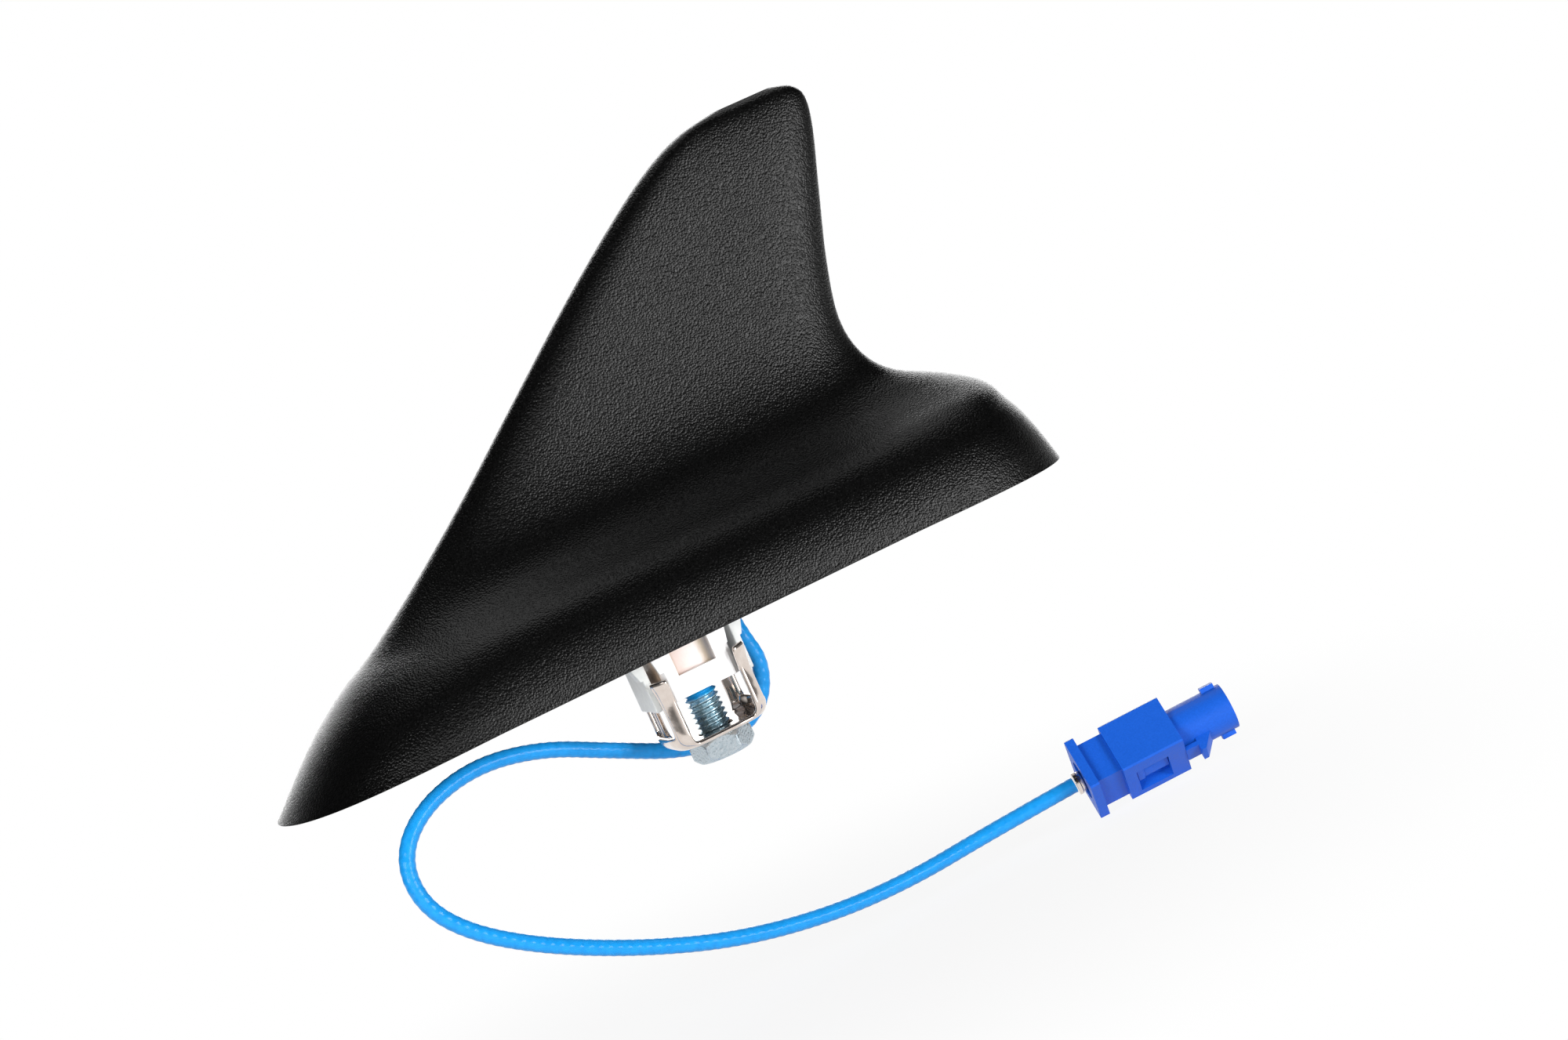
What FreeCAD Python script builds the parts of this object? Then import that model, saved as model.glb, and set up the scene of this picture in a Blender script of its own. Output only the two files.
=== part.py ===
"""Shark-fin roof antenna with its clamp, its lead and the plug on the lead.

Millimetres. The origin lies on the roof, on the axis of the clamp bolt.
+X runs to the tail, +Z up, and the nose points along -X.
"""
import FreeCAD, Part
import math
import os
import re

from FreeCAD import Placement, Rotation, Vector

doc = FreeCAD.newDocument("roof_antenna")
sheet = doc.addObject("Spreadsheet::Sheet", "Sizes")

# Driving sizes: the word, the size, and what it measures.
SIZES = [
    ("nose_reach", 75.0, "bolt axis to the tip of the nose"),
    ("tail_reach", 75.2, "bolt axis to the end of the tail"),
    ("base_width", 55.0, "cover across its rim"),
    ("fin_height", 79.4, "roof to the top of the blade"),
    ("nose_round", 36.0, "radius of the nose at the rim, seen from above"),
    ("tail_round", 45.0, "radius of the tail at the rim, seen from above"),
    ("cover_wall", 2.2, "wall of the cover"),
    ("rim_lift", 0.1, "lowest level of the cover's lines above the seat"),
    ("rim_middle", 1.2, "rim above the seat at the bolt, where the roof crowns"),
    ("roof_crown", 2800.0, "radius of the roof along the car"),
    ("fit_gap", 0.3, "gap round a piece that is dropped into another"),
    ("gasket_thick", 3.0, "roof to the underside of the base plate"),
    ("gasket_inset", 4.0, "gasket drawn in from the base plate's edge"),
    ("gasket_open_long", 36.0, "opening of the gasket along the antenna"),
    ("gasket_open_front", 14.0, "opening's near edge from the middle"),
    ("gasket_open_clear", 1.2, "opening's far edge beyond the lead's grommet"),
    ("gasket_open_back", 3.0, "opening's middle behind the bolt axis"),
    ("gasket_open_round", 6.0, "corner radius of the opening"),
    ("plate_thick", 3.5, "base plate"),
    ("post_width", 13.2, "clamp post along the antenna"),
    ("post_depth", 14.0, "clamp post across the antenna"),
    ("post_drop", 9.7, "clamp post below the roof"),
    ("post_edge", 0.8, "chamfer round the foot of the post"),
    ("flare_drop", 4.2, "where the root of the post starts to widen"),
    ("flare_out", 1.4, "widening of the post's root on each side"),
    ("window_width", 7.2, "pocket in the front and back of the post"),
    ("window_sill", 3.9, "foot of the post to the pocket"),
    ("window_deep", 2.2, "depth of the pocket"),
    ("bolt_boss", 11.0, "diameter of the boss over the bolt"),
    ("boss_roof", 1.4, "metal above the end of the bolt's bore"),
    ("bolt_dia", 6.0, "clamp bolt"),
    ("bolt_length", 20.0, "clamp bolt under its head"),
    ("bolt_point", 0.9, "chamfer at the end of the bolt"),
    ("bore_gap", 0.2, "gap round a screw"),
    ("bore_spare", 1.3, "bore beyond the bolt when it is tightened"),
    ("head_across", 10.0, "bolt head across its flats"),
    ("head_tall", 4.0, "bolt head"),
    ("head_edge", 0.8, "height of the chamfers on the bolt head"),
    ("head_turn", -13.0, "turn of the bolt head as delivered, degrees"),
    ("clamp_travel", 4.2, "lift of the claw from delivered until its tips grip a roof panel"),
    ("claw_sheet", 1.0, "sheet of the claw"),
    ("claw_floor", 17.4, "inside of the claw's floor below the roof"),
    ("claw_tip", 5.1, "tips of the claw below the roof"),
    ("claw_side", 18.6, "claw outside, across its waist"),
    ("claw_corner", 5.0, "corner radius of the claw at its waist"),
    ("claw_waist", 9.5, "waist of the prongs below the seat"),
    ("claw_flare", 0.6, "prongs further out at their tips than at the waist"),
    ("claw_knee", 2.6, "height of the bend above the claw's floor"),
    ("claw_foot", 2.2, "floor drawn in from the waist by the bend"),
    ("claw_mouth", 13.3, "opening between two prongs"),
    ("mouth_round", 2.4, "corners of that opening"),
    ("side_sill", 2.1, "inside of the floor to the openings at the sides"),
    ("claw_hole", 6.6, "hole for the bolt"),
    ("collar_wall", 1.2, "wall of the locating collar's ears"),
    ("collar_gap", 0.3, "ears clear of the post's root"),
    ("collar_frame", 1.8, "frame of the collar round the post"),
    ("ear_width", 11.0, "ears across the antenna"),
    ("ear_drop", 10.2, "ears below the seat"),
    ("lug_out", 2.0, "snap lugs proud of the ears"),
    ("lug_width", 3.0, "snap lugs across the antenna"),
    ("lug_drop", 4.2, "snap lugs below the seat"),
    ("lug_top", 0.4, "head of the snap lugs above the seat"),
    ("nose_screw", 57.0, "nose screw ahead of the bolt axis"),
    ("mid_screw", 4.0, "side screws ahead of the bolt axis"),
    ("mid_inset", 7.5, "side screws in from the rim"),
    ("tail_screw", 55.0, "tail screws behind the bolt axis"),
    ("tail_inset", 13.5, "tail screws in from the rim's sides"),
    ("screw_dia", 2.9, "cover screws"),
    ("screw_head", 5.2, "heads of the cover screws"),
    ("screw_head_tall", 1.8, "heads of the cover screws"),
    ("screw_length", 8.0, "cover screws under their heads"),
    ("screw_boss", 6.0, "screw bosses of the cover"),
    ("board_front", 48.0, "circuit board's front edge ahead of the bolt axis"),
    ("board_long", 41.0, "circuit board along the antenna"),
    ("board_wide", 34.0, "circuit board across the antenna"),
    ("board_thick", 1.6, "circuit board"),
    ("board_stand", 1.5, "pillars under the circuit board"),
    ("pillar_dia", 4.6, "pillars under the circuit board"),
    ("pillar_front", 4.0, "front pillars behind the board's front edge"),
    ("pillar_back", 10.0, "rear pillars ahead of the board's rear edge"),
    ("pillar_side", 4.0, "pillars in from the board's sides"),
    ("board_screw", 2.0, "circuit board screws"),
    ("board_screw_head", 3.8, "heads of the circuit board screws"),
    ("board_screw_tall", 1.4, "heads of the circuit board screws"),
    ("board_screw_grip", 3.4, "circuit board screws under the board"),
    ("patch_side", 18.4, "ceramic patch antenna"),
    ("patch_thick", 4.0, "ceramic patch antenna"),
    ("patch_edge", 6.6, "board's front edge to the patch"),
    ("patch_corner", 0.6, "chamfer on the patch's upright edges"),
    ("feed_dia", 1.0, "feed pin of the patch"),
    ("feed_head", 1.8, "head of the feed pin"),
    ("feed_head_tall", 0.4, "head of the feed pin"),
    ("feed_shift", 2.6, "feed pin behind the middle of the patch"),
    ("can_long", 8.0, "shield can along the antenna"),
    ("can_wide", 16.0, "shield can across the antenna"),
    ("can_tall", 3.0, "shield can"),
    ("can_sheet", 0.3, "sheet of the shield can"),
    ("can_gap", 2.2, "patch to the shield can"),
    ("cable_dia", 2.9, "coaxial lead"),
    ("exit_back", 13.6, "lead's exit behind the bolt axis"),
    ("exit_inset", 14.5, "lead's exit in from the rim"),
    ("exit_drop", 1.0, "end of the grommet below the roof"),
    ("lead_joint", 0.2, "gap at the two ends of the free lead"),
    ("lead_turn", 2.9, "bend of the lead inside the cover"),
    ("lead_overlap", 3.5, "lead's end on the circuit board"),
    ("lead_rest", 0.05, "lead above the circuit board"),
    ("grommet_neck", 6.4, "grommet in the base plate's hole"),
    ("grommet_flange", 7.6, "flanges of the grommet"),
    ("grommet_lip", 1.5, "thickness of the grommet's flanges"),
    ("grommet_tail", 4.8, "grommet's sleeve round the lead"),
    ("grommet_gap", 0.1, "lead in the grommet"),
    ("saddle_long", 2.4, "solder saddle over the lead's end"),
    ("saddle_sheet", 0.5, "sheet of the saddle"),
    ("ferrule_dia", 4.3, "crimp ferrule"),
    ("ferrule_rim", 0.2, "rolled rim of the ferrule"),
    ("ferrule_show", 1.45, "ferrule outside the plug"),
    ("ferrule_length", 9.0, "ferrule over all"),
    ("flange_side", 11.2, "square flange of the plug"),
    ("flange_thick", 1.8, "square flange of the plug"),
    ("recess_dia", 7.2, "recess round the ferrule in the flange"),
    ("recess_deep", 1.5, "recess round the ferrule in the flange"),
    ("neck_side", 8.7, "neck of the plug"),
    ("neck_long", 4.8, "neck of the plug"),
    ("body_side", 10.6, "square body of the plug"),
    ("body_long", 12.0, "square body of the plug"),
    ("plug_edge", 0.3, "chamfer along the edges of the body"),
    ("plug_nose", 8.6, "round nose of the plug"),
    ("plug_nose_long", 11.0, "round nose of the plug"),
    ("plug_nose_wall", 0.9, "wall of the round nose"),
    ("socket_deep", 9.0, "depth of the socket in the nose"),
    ("key_long", 2.6, "key ribs on the nose"),
    ("key_wide", 1.5, "key ribs on the nose"),
    ("key_tall", 0.8, "key ribs on the nose"),
    ("key_setback", 0.9, "key ribs behind the end of the nose"),
    ("key_turn", 43.0, "key ribs from the body's flats, degrees"),
    ("catch_wide", 3.4, "catch under the nose"),
    ("catch_reach", 2.5, "arm of the catch, body to hook"),
    ("catch_arm", 0.9, "thickness of the catch's arm"),
    ("catch_low", 5.5, "plug's axis to the underside of the catch's arm"),
    ("hook_long", 3.2, "hook of the catch along the plug"),
    ("hook_tip", 0.9, "length of the hook at its lower end"),
    ("hook_drop", 1.3, "hook below the arm"),
    ("lock_long", 6.4, "window for the lock slide"),
    ("lock_wide", 6.2, "window for the lock slide, across the body"),
    ("lock_shift", 0.6, "window's middle from the middle of the body"),
    ("lock_deep", 1.8, "depth of the window"),
    ("lock_slide_wide", 3.4, "lock slide across the body"),
    ("lock_sink", 0.6, "face of the lock slide below the body"),
    ("lock_setback", 3.4, "window behind the front of the body"),
    ("contact_dia", 5.0, "free end of the outer contact"),
    ("contact_wall", 0.4, "wall of the outer contact's free end"),
    ("contact_root", 5.4, "outer contact where the body holds it"),
    ("contact_short", 1.2, "outer contact behind the end of the nose"),
    ("insulator_long", 12.0, "insulator of the plug"),
    ("pin_dia", 0.9, "centre contact"),
    ("pin_short", 2.6, "centre contact behind the end of the nose"),
    ("plug_x", 57.4, "lead's entry to the plug, behind the bolt axis"),
    ("plug_y", 6.0, "lead's entry to the plug, from the middle"),
    ("plug_drop", 56.6, "lead's entry to the plug, below the roof"),
    ("plug_yaw", -12.0, "plug turned towards the front side, degrees"),
    ("plug_pitch", 2.6, "plug's nose raised, degrees"),
    ("plug_roll", -43.0, "plug rolled about its own axis, degrees"),
]
for row, (word, size, meaning) in enumerate(SIZES, start=1):
    sheet.set(f"A{row}", word)
    sheet.set(f"B{row}", str(size))
    sheet.set(f"C{row}", meaning)
    sheet.setAlias(f"B{row}", word)
doc.recompute()

WORDS = {word for word, _, _ in SIZES}
AHEAD = Vector(1, 0, 0)
ACROSS = Vector(0, 1, 0)
UP = Vector(0, 0, 1)


def value(word):
    """One driving size, read back from the sheet."""
    return float(sheet.get(word))


def in_sheet(formula):
    """The formula with each of the sheet's words given its full name."""
    return re.sub(r"[a-z_]+", lambda hit: "Sizes." + hit[0] if hit[0] in WORDS else hit[0], formula)


def bind(item, **formulas):
    for prop, formula in formulas.items():
        item.setExpression(prop, in_sheet(formula))
    return item


def put(item, x="0", y="0", z="0"):
    for axis, formula in zip("xyz", (x, y, z)):
        item.setExpression(f"Placement.Base.{axis}", in_sheet(formula))
    return item


def box(name, long, wide, tall, x, y, z):
    """A box from its sizes and its low corner."""
    item = bind(doc.addObject("Part::Box", name), Length=long, Width=wide, Height=tall)
    return put(item, x, y, z)


def middle_box(name, long, wide, tall, x, y, z):
    """A box whose foot is centred on x, y."""
    return box(name, long, wide, tall, f"{x} - ({long}) / 2", f"{y} - ({wide}) / 2", z)


def rod(name, dia, tall, x, y, z):
    """An upright cylinder standing on z."""
    item = bind(doc.addObject("Part::Cylinder", name), Radius=f"({dia}) / 2", Height=tall)
    return put(item, x, y, z)


def level_rod(name, dia, long, x, y="0", z="0"):
    """A cylinder lying along +X from x."""
    item = rod(name, dia, long, x, y, z)
    item.Placement.Rotation = Rotation(ACROSS, 90)
    return item


def fuse(name, pieces):
    item = doc.addObject("Part::MultiFuse", name)
    item.Shapes = pieces
    item.Refine = True
    return item


def cut(name, base, tools):
    item = doc.addObject("Part::Cut", name)
    item.Base = base
    item.Tool = tools[0] if len(tools) == 1 else fuse(name + "_tools", tools)
    item.Refine = True
    return item


def common(name, one, other):
    item = doc.addObject("Part::Common", name)
    item.Base = one
    item.Tool = other
    return item


def carrier(name, shape):
    """An outline or a path worked out here, held as an object of the document."""
    item = doc.addObject("Part::Feature", name)
    item.Shape = shape
    return item


def extrude(name, outline, tall):
    """A solid raised along +Z from a flat closed outline."""
    item = doc.addObject("Part::Extrusion", name)
    item.Base = outline
    item.DirMode = "Custom"
    item.Dir = UP
    item.Solid = True
    return bind(item, LengthFwd=tall)


def soften(name, kind, base, size, axis):
    """The base with its edges along one axis chamfered or filleted."""
    doc.recompute()
    chosen = []
    for number, edge in enumerate(base.Shape.Edges, start=1):
        run = edge.Vertexes[-1].Point - edge.Vertexes[0].Point
        if run.Length > 1e-6 and run.cross(axis).Length < 1e-6:
            chosen.append(number)
    item = doc.addObject(kind, name)
    item.Base = base
    item.Edges = [(number, size, size) for number in chosen]
    return item


# The cover: lines of the fin.
# One row per level: height, nose, tail and half width as shares of the cover's reach and sizes,
# then the rounds of the nose and the tail as shares of their rounds at the rim.
FIN_LINES = [
    (0.000, 1.000, 1.000, 1.000, 1.000, 1.000),
    (0.061, 0.932, 0.985, 0.984, 0.990, 0.960),
    (0.125, 0.855, 0.965, 0.934, 0.870, 0.860),
    (0.175, 0.784, 0.942, 0.847, 0.660, 0.700),
    (0.207, 0.731, 0.929, 0.735, 0.460, 0.540),
    (0.238, 0.668, 0.898, 0.580, 0.295, 0.350),
    (0.276, 0.602, 0.834, 0.430, 0.190, 0.200),
    (0.327, 0.519, 0.736, 0.315, 0.136, 0.115),
    (0.390, 0.423, 0.686, 0.248, 0.108, 0.080),
    (0.478, 0.294, 0.672, 0.204, 0.094, 0.067),
    (0.604, 0.120, 0.702, 0.175, 0.085, 0.062),
    (0.755, -0.092, 0.756, 0.156, 0.083, 0.062),
    (0.881, -0.285, 0.802, 0.142, 0.083, 0.062),
    (0.951, -0.411, 0.815, 0.124, 0.083, 0.062),
    (0.985, -0.502, 0.793, 0.095, 0.070, 0.055),
    (1.000, -0.595, 0.745, 0.044, 0.028, 0.022),
]
INNER_TOP = 0.86  # the blade is solid above this share of its height
HALF_POINTS = 24  # steps from the tail to the nose along one side of a level's outline
SHARPEST = 0.8  # least round inside the cover


def lines_at(height):
    """Nose, tail, half width and rounds of the fin at a height, between the rows."""
    span = value("fin_height") - value("rim_lift")
    share = min(max((height - value("rim_lift")) / span, 0.0), 1.0)
    for low, high in zip(FIN_LINES, FIN_LINES[1:]):
        if share <= high[0]:
            part = (share - low[0]) / (high[0] - low[0])
            row = [a + (b - a) * part for a, b in zip(low, high)]
            break
    return (
        -value("nose_reach") * row[1],
        value("tail_reach") * row[2],
        value("base_width") / 2 * row[3],
        value("nose_round") * row[4],
        value("tail_round") * row[5],
    )


def level_outline(height, at_height, inset):
    """The fin's closed outline for one height, drawn in by an inset and laid at another height."""
    nose, tail, half, nose_round, tail_round = lines_at(height)
    middle = (nose + tail) / 2
    reach = (tail - nose) / 2 - inset
    half = half - inset
    fine = []
    for angle in range(181):
        across = math.sin(math.radians(angle))
        end_round = max((tail_round if angle <= 90 else nose_round) - inset, SHARPEST)
        power = max(2 * end_round * reach / half**2, 2.0)
        along = math.copysign(abs(math.cos(math.radians(angle))) ** (2 / power), 90 - angle)
        fine.append(Vector(middle + reach * along, half * across, at_height))
    walked = [0.0]
    for one, other in zip(fine, fine[1:]):
        walked.append(walked[-1] + (other - one).Length)
    side = []
    for step in range(HALF_POINTS + 1):
        goal = walked[-1] * step / HALF_POINTS
        last = next(n for n, length in enumerate(walked) if length >= goal - 1e-9)
        first = max(last - 1, 0)
        span = walked[last] - walked[first]
        part = (goal - walked[first]) / span if span else 0.0
        side.append(fine[first] + (fine[last] - fine[first]) * part)
    other_side = [Vector(p.x, -p.y, p.z) for p in side[-2:0:-1]]
    points = side + other_side
    curve = Part.BSplineCurve()
    curve.interpolate(points, PeriodicFlag=True, Parameters=[float(n) for n in range(len(points) + 1)])
    return Part.Wire([curve.toShape()])


def fin_loft(name, levels, inset, drop):
    """A solid through the fin's levels, drawn in by an inset and set lower by a drop."""
    sections = [
        carrier(f"{name}_level_{number}", level_outline(height, height - drop, inset))
        for number, height in enumerate(levels, start=1)
    ]
    item = doc.addObject("Part::Loft", name)
    item.Sections = sections
    item.Solid = True
    item.Ruled = False
    return item


def fin_height_at(share):
    return value("rim_lift") + share * (value("fin_height") - value("rim_lift"))


plate_top = "(gasket_thick + plate_thick)"
mid_spread = "(base_width / 2 - mid_inset)"
tail_spread = "(base_width / 2 - tail_inset)"
exit_side = "(base_width / 2 - exit_inset)"
SCREW_PLACES = [
    ("nose", "-nose_screw", "0"),
    ("left", "-mid_screw", f"-{mid_spread}"),
    ("right", "-mid_screw", mid_spread),
    ("tail_left", "tail_screw", f"-{tail_spread}"),
    ("tail_right", "tail_screw", tail_spread),
]


def exit_place(height):
    """A point on the axis of the lead's exit."""
    return Vector(value("exit_back"), value("base_width") / 2 - value("exit_inset"), height)


def fin_cover():
    """A hollow moulding with screw bosses that reach down to the base plate."""
    wall = value("cover_wall")
    deck_drop = wall / 2
    outer = fin_loft("cover_outside", [fin_height_at(row[0]) for row in FIN_LINES], 0.0, 0.0)
    inner_levels = [fin_height_at(row[0]) for row in FIN_LINES if row[0] < INNER_TOP]
    inner_levels = inner_levels + [fin_height_at(INNER_TOP)]
    inner = fin_loft("cover_inside", inner_levels, wall, deck_drop)
    shell = cut("cover_shell", outer, [inner])
    bosses = []
    pilots = []
    for name, x, y in SCREW_PLACES:
        boss = rod(f"boss_{name}", "screw_boss", "fin_height", x, y, plate_top)
        bosses.append(common(f"boss_{name}_trimmed", boss, outer))
        pilot_long = "screw_length - plate_thick + screw_head_tall + fit_gap"
        pilots.append(rod(f"pilot_{name}", "screw_dia", pilot_long, x, y, plate_top))
    solid = fuse("cover_with_bosses", [shell] + bosses)
    crown_long = "base_width + 2 * cover_wall"
    crown_side = f"({crown_long}) / 2"
    crown = rod("roof", "2 * roof_crown", crown_long, "0", crown_side, "rim_middle - roof_crown")
    crown.Placement.Rotation = Rotation(AHEAD, 90)
    return cut("fin_cover", solid, pilots + [crown])


def cover_screws():
    """Screws from below, their heads sunk flush into the base plate."""
    screws = []
    for name, x, y in SCREW_PLACES:
        head = rod(f"head_{name}", "screw_head", "screw_head_tall", x, y, "gasket_thick")
        shank_foot = "gasket_thick + screw_head_tall"
        shank = rod(f"shank_{name}", "screw_dia - 2 * bore_gap", "screw_length", x, y, shank_foot)
        screws.append(fuse(f"screw_{name}", [head, shank]))
    group = doc.addObject("Part::Compound", "cover_screws")
    group.Links = screws
    return group


PILLAR_ALONG = ["-board_front + pillar_front", "-board_front + board_long - pillar_back"]
PILLAR_ACROSS = ["-board_wide / 2 + pillar_side", "board_wide / 2 - pillar_side"]
PILLARS = [
    (f"{row}{column}", x, y)
    for row, x in enumerate(PILLAR_ALONG)
    for column, y in enumerate(PILLAR_ACROSS)
]
board_top = f"({plate_top} + board_stand + board_thick)"
bolt_end = "(bolt_length - claw_floor - claw_sheet + clamp_travel)"


def inside_cover(at_height, inset):
    """The outline that clears the cover's wall up to the top of the base plate, drawn in by an inset."""
    wall = value("cover_wall")
    level = value("gasket_thick") + value("plate_thick") + wall / 2
    return level_outline(level, at_height, wall + value("fit_gap") + inset)


def base_plate():
    """One casting: the plate inside the rim, the clamp post under it and the bolt's boss above."""
    outline = carrier("plate_outline", inside_cover(value("gasket_thick"), 0.0))
    plate = extrude("plate", outline, "plate_thick")
    post_tall = "post_drop + gasket_thick"
    post = middle_box("post_block", "post_width", "post_depth", post_tall, "0", "0", "-post_drop")
    post = soften("post", "Part::Chamfer", post, value("post_edge"), UP)
    flare = bind(
        doc.addObject("Part::Wedge", "post_root"),
        Xmin="0", Xmax="post_depth", Zmin="0", Zmax="post_width",
        Ymin="0", Ymax="flare_drop + gasket_thick",
        X2min="0", X2max="post_depth", Z2min="-flare_out", Z2max="post_width + flare_out",
    )
    flare.Placement.Rotation = Rotation(Vector(1, 1, 1), 120)
    put(flare, "-post_width / 2", "-post_depth / 2", "-flare_drop")
    boss_tall = f"{bolt_end} + bore_spare + boss_roof - gasket_thick"
    boss = rod("bolt_boss", "bolt_boss", boss_tall, "0", "0", "gasket_thick")
    pillars = [rod(f"pillar_{n}", "pillar_dia", "board_stand", x, y, plate_top) for n, x, y in PILLARS]

    bore_tall = f"post_drop + {bolt_end} + bore_spare"
    tools = [rod("bolt_bore", "bolt_dia + 2 * fit_gap", bore_tall, "0", "0", "-post_drop")]
    window_tall = "post_drop - window_sill + gasket_thick"
    for name, y in (("front", "-post_depth / 2"), ("back", "post_depth / 2 - window_deep")):
        x = "-window_width / 2"
        z = "-post_drop + window_sill"
        tools.append(box(f"window_{name}", "window_width", "window_deep", window_tall, x, y, z))
    for name, x, y in SCREW_PLACES:
        sink = "screw_head + 2 * bore_gap"
        tools.append(rod(f"sink_{name}", sink, "screw_head_tall", x, y, "gasket_thick"))
        tools.append(rod(f"hole_{name}", "screw_dia", "plate_thick", x, y, "gasket_thick"))
    for name, x, y in PILLARS:
        depth = "board_stand + board_screw_grip"
        tools.append(rod(f"tap_{name}", "board_screw + 2 * bore_gap", depth, x, y, f"{plate_top} - board_screw_grip"))
    hole = "grommet_neck + 2 * grommet_gap"
    tools.append(rod("lead_hole", hole, "plate_thick", "exit_back", exit_side, "gasket_thick"))
    casting = fuse("casting", [plate, post, flare, boss] + pillars)
    return cut("base_plate", casting, tools)


def rounded_rectangle(long, wide, corner, x, y, z):
    """A closed flat outline centred on x, y."""
    flat = Part.makePlane(long, wide, Vector(x - long / 2, y - wide / 2, z))
    upright = flat.extrude(UP)
    corners = [edge for edge in upright.Edges if abs(edge.Vertexes[0].Z - edge.Vertexes[-1].Z) > 0.5]
    rounded = upright.makeFillet(corner, corners)
    floor = [face for face in rounded.Faces if face.BoundBox.ZMax < z + 1e-6][0]
    return floor.OuterWire


def roof_gasket():
    """A flat rubber ring that seals the base to the roof, open for the clamp and the lead."""
    outline = carrier("gasket_outline", inside_cover(0.0, value("gasket_inset")))
    near = -value("gasket_open_front")
    far = exit_place(0.0).y + value("grommet_flange") / 2 + value("gasket_open_clear")
    opening = rounded_rectangle(
        value("gasket_open_long"), far - near, value("gasket_open_round"),
        value("gasket_open_back"), (near + far) / 2, 0.0,
    )
    ring = extrude("gasket_blank", outline, "gasket_thick")
    hole = extrude("gasket_hole", carrier("gasket_opening", opening), "gasket_thick")
    return cut("roof_gasket", ring, [hole])


ear_in = "(post_width / 2 + flare_out + collar_gap)"
ear_out = f"({ear_in} + collar_wall)"


def snap_lug(name, side):
    """A lug on an ear that slopes out and up, so that it springs through the hole in the roof."""
    lug = bind(
        doc.addObject("Part::Wedge", name),
        Xmin="0", Xmax="lug_width", Ymin="0", Ymax="lug_drop + lug_top",
        Zmin="0", Zmax="lug_out / 5",
        X2min="0", X2max="lug_width", Z2min="0", Z2max="lug_out",
    )
    upright = Rotation(Vector(1, 1, 1), 120)
    flip = Rotation(UP, 0 if side > 0 else 180)
    lug.Placement.Rotation = flip.multiply(upright)
    if side > 0:
        return put(lug, ear_out, "-ear_width / 2", "-lug_drop")
    return put(lug, f"-{ear_out}", "-ear_width / 2 + lug_width", "-lug_drop")


def locating_collar():
    """A natural nylon guide: a frame round the post's root and an ear with a snap lug on each side."""
    deep = "(post_depth + 2 * (collar_gap + collar_frame))"
    frame = middle_box("collar_frame", f"2 * {ear_out}", deep, "collar_frame",
                       "0", "0", "gasket_thick - collar_frame")
    room = middle_box("collar_room", f"2 * {ear_in}", "post_depth + 2 * collar_gap", "collar_frame",
                      "0", "0", "gasket_thick - collar_frame")
    pieces = [cut("collar_ring", frame, [room])]
    for name, side, x in (("front", -1, f"-{ear_out}"), ("rear", 1, ear_in)):
        ear = box(f"ear_{name}", "collar_wall", "ear_width", "ear_drop + gasket_thick",
                  x, "-ear_width / 2", "-ear_drop")
        pieces.append(ear)
        pieces.append(snap_lug(f"lug_{name}", side))
    return fuse("locating_collar", pieces)


BEND_STEPS = 4  # levels of the claw's bend, from its floor to its prongs


def claw_cup(name, inset, floor):
    """A square cup with round corners, waisted and flared: the claw's outside, or its inside by an inset."""
    waist = value("claw_side") / 2 - inset
    corner = value("claw_corner") - inset
    foot = value("claw_foot")
    knee = value("claw_knee")
    levels = []
    for step in range(BEND_STEPS + 1):
        turn = math.pi / 2 * step / BEND_STEPS
        drawn_in = foot * (1 - math.sin(turn))
        levels.append((floor + knee * (1 - math.cos(turn)), waist - drawn_in, corner - drawn_in / 2))
    levels.append((-value("claw_waist"), waist, corner))
    levels.append((-value("claw_tip"), waist + value("claw_flare"), corner))
    sections = []
    for number, (z, half, round_corner) in enumerate(levels, start=1):
        wire = rounded_rectangle(2 * half, 2 * half, round_corner, 0.0, 0.0, z)
        sections.append(carrier(f"{name}_level_{number}", wire))
    item = doc.addObject("Part::Loft", name)
    item.Sections = sections
    item.Solid = True
    item.Ruled = True
    return item


def clamp_claw():
    """A nickel-plated spring claw: a pressed cup cut back to four prongs, drawn up by the bolt."""
    sheet_thick = value("claw_sheet")
    outside = claw_cup("claw_outside", 0.0, -value("claw_floor") - sheet_thick)
    inside = claw_cup("claw_inside", sheet_thick, -value("claw_floor"))
    span = "2 * claw_side"
    tall = "claw_floor"
    front = middle_box("mouth_block", "claw_mouth", span, tall, "0", "0", "-claw_floor")
    mouth = soften("claw_mouth", "Part::Fillet", front, value("mouth_round"), ACROSS)
    sides = middle_box("side_block", span, "claw_mouth", tall, "0", "0", "-claw_floor + side_sill")
    side_mouth = soften("claw_side_mouth", "Part::Fillet", sides, value("mouth_round"), AHEAD)
    hole = rod("claw_hole", "claw_hole", "2 * claw_sheet", "0", "0", "-claw_floor - claw_sheet")
    return cut("clamp_claw", outside, [inside, mouth, side_mouth, hole])


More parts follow.
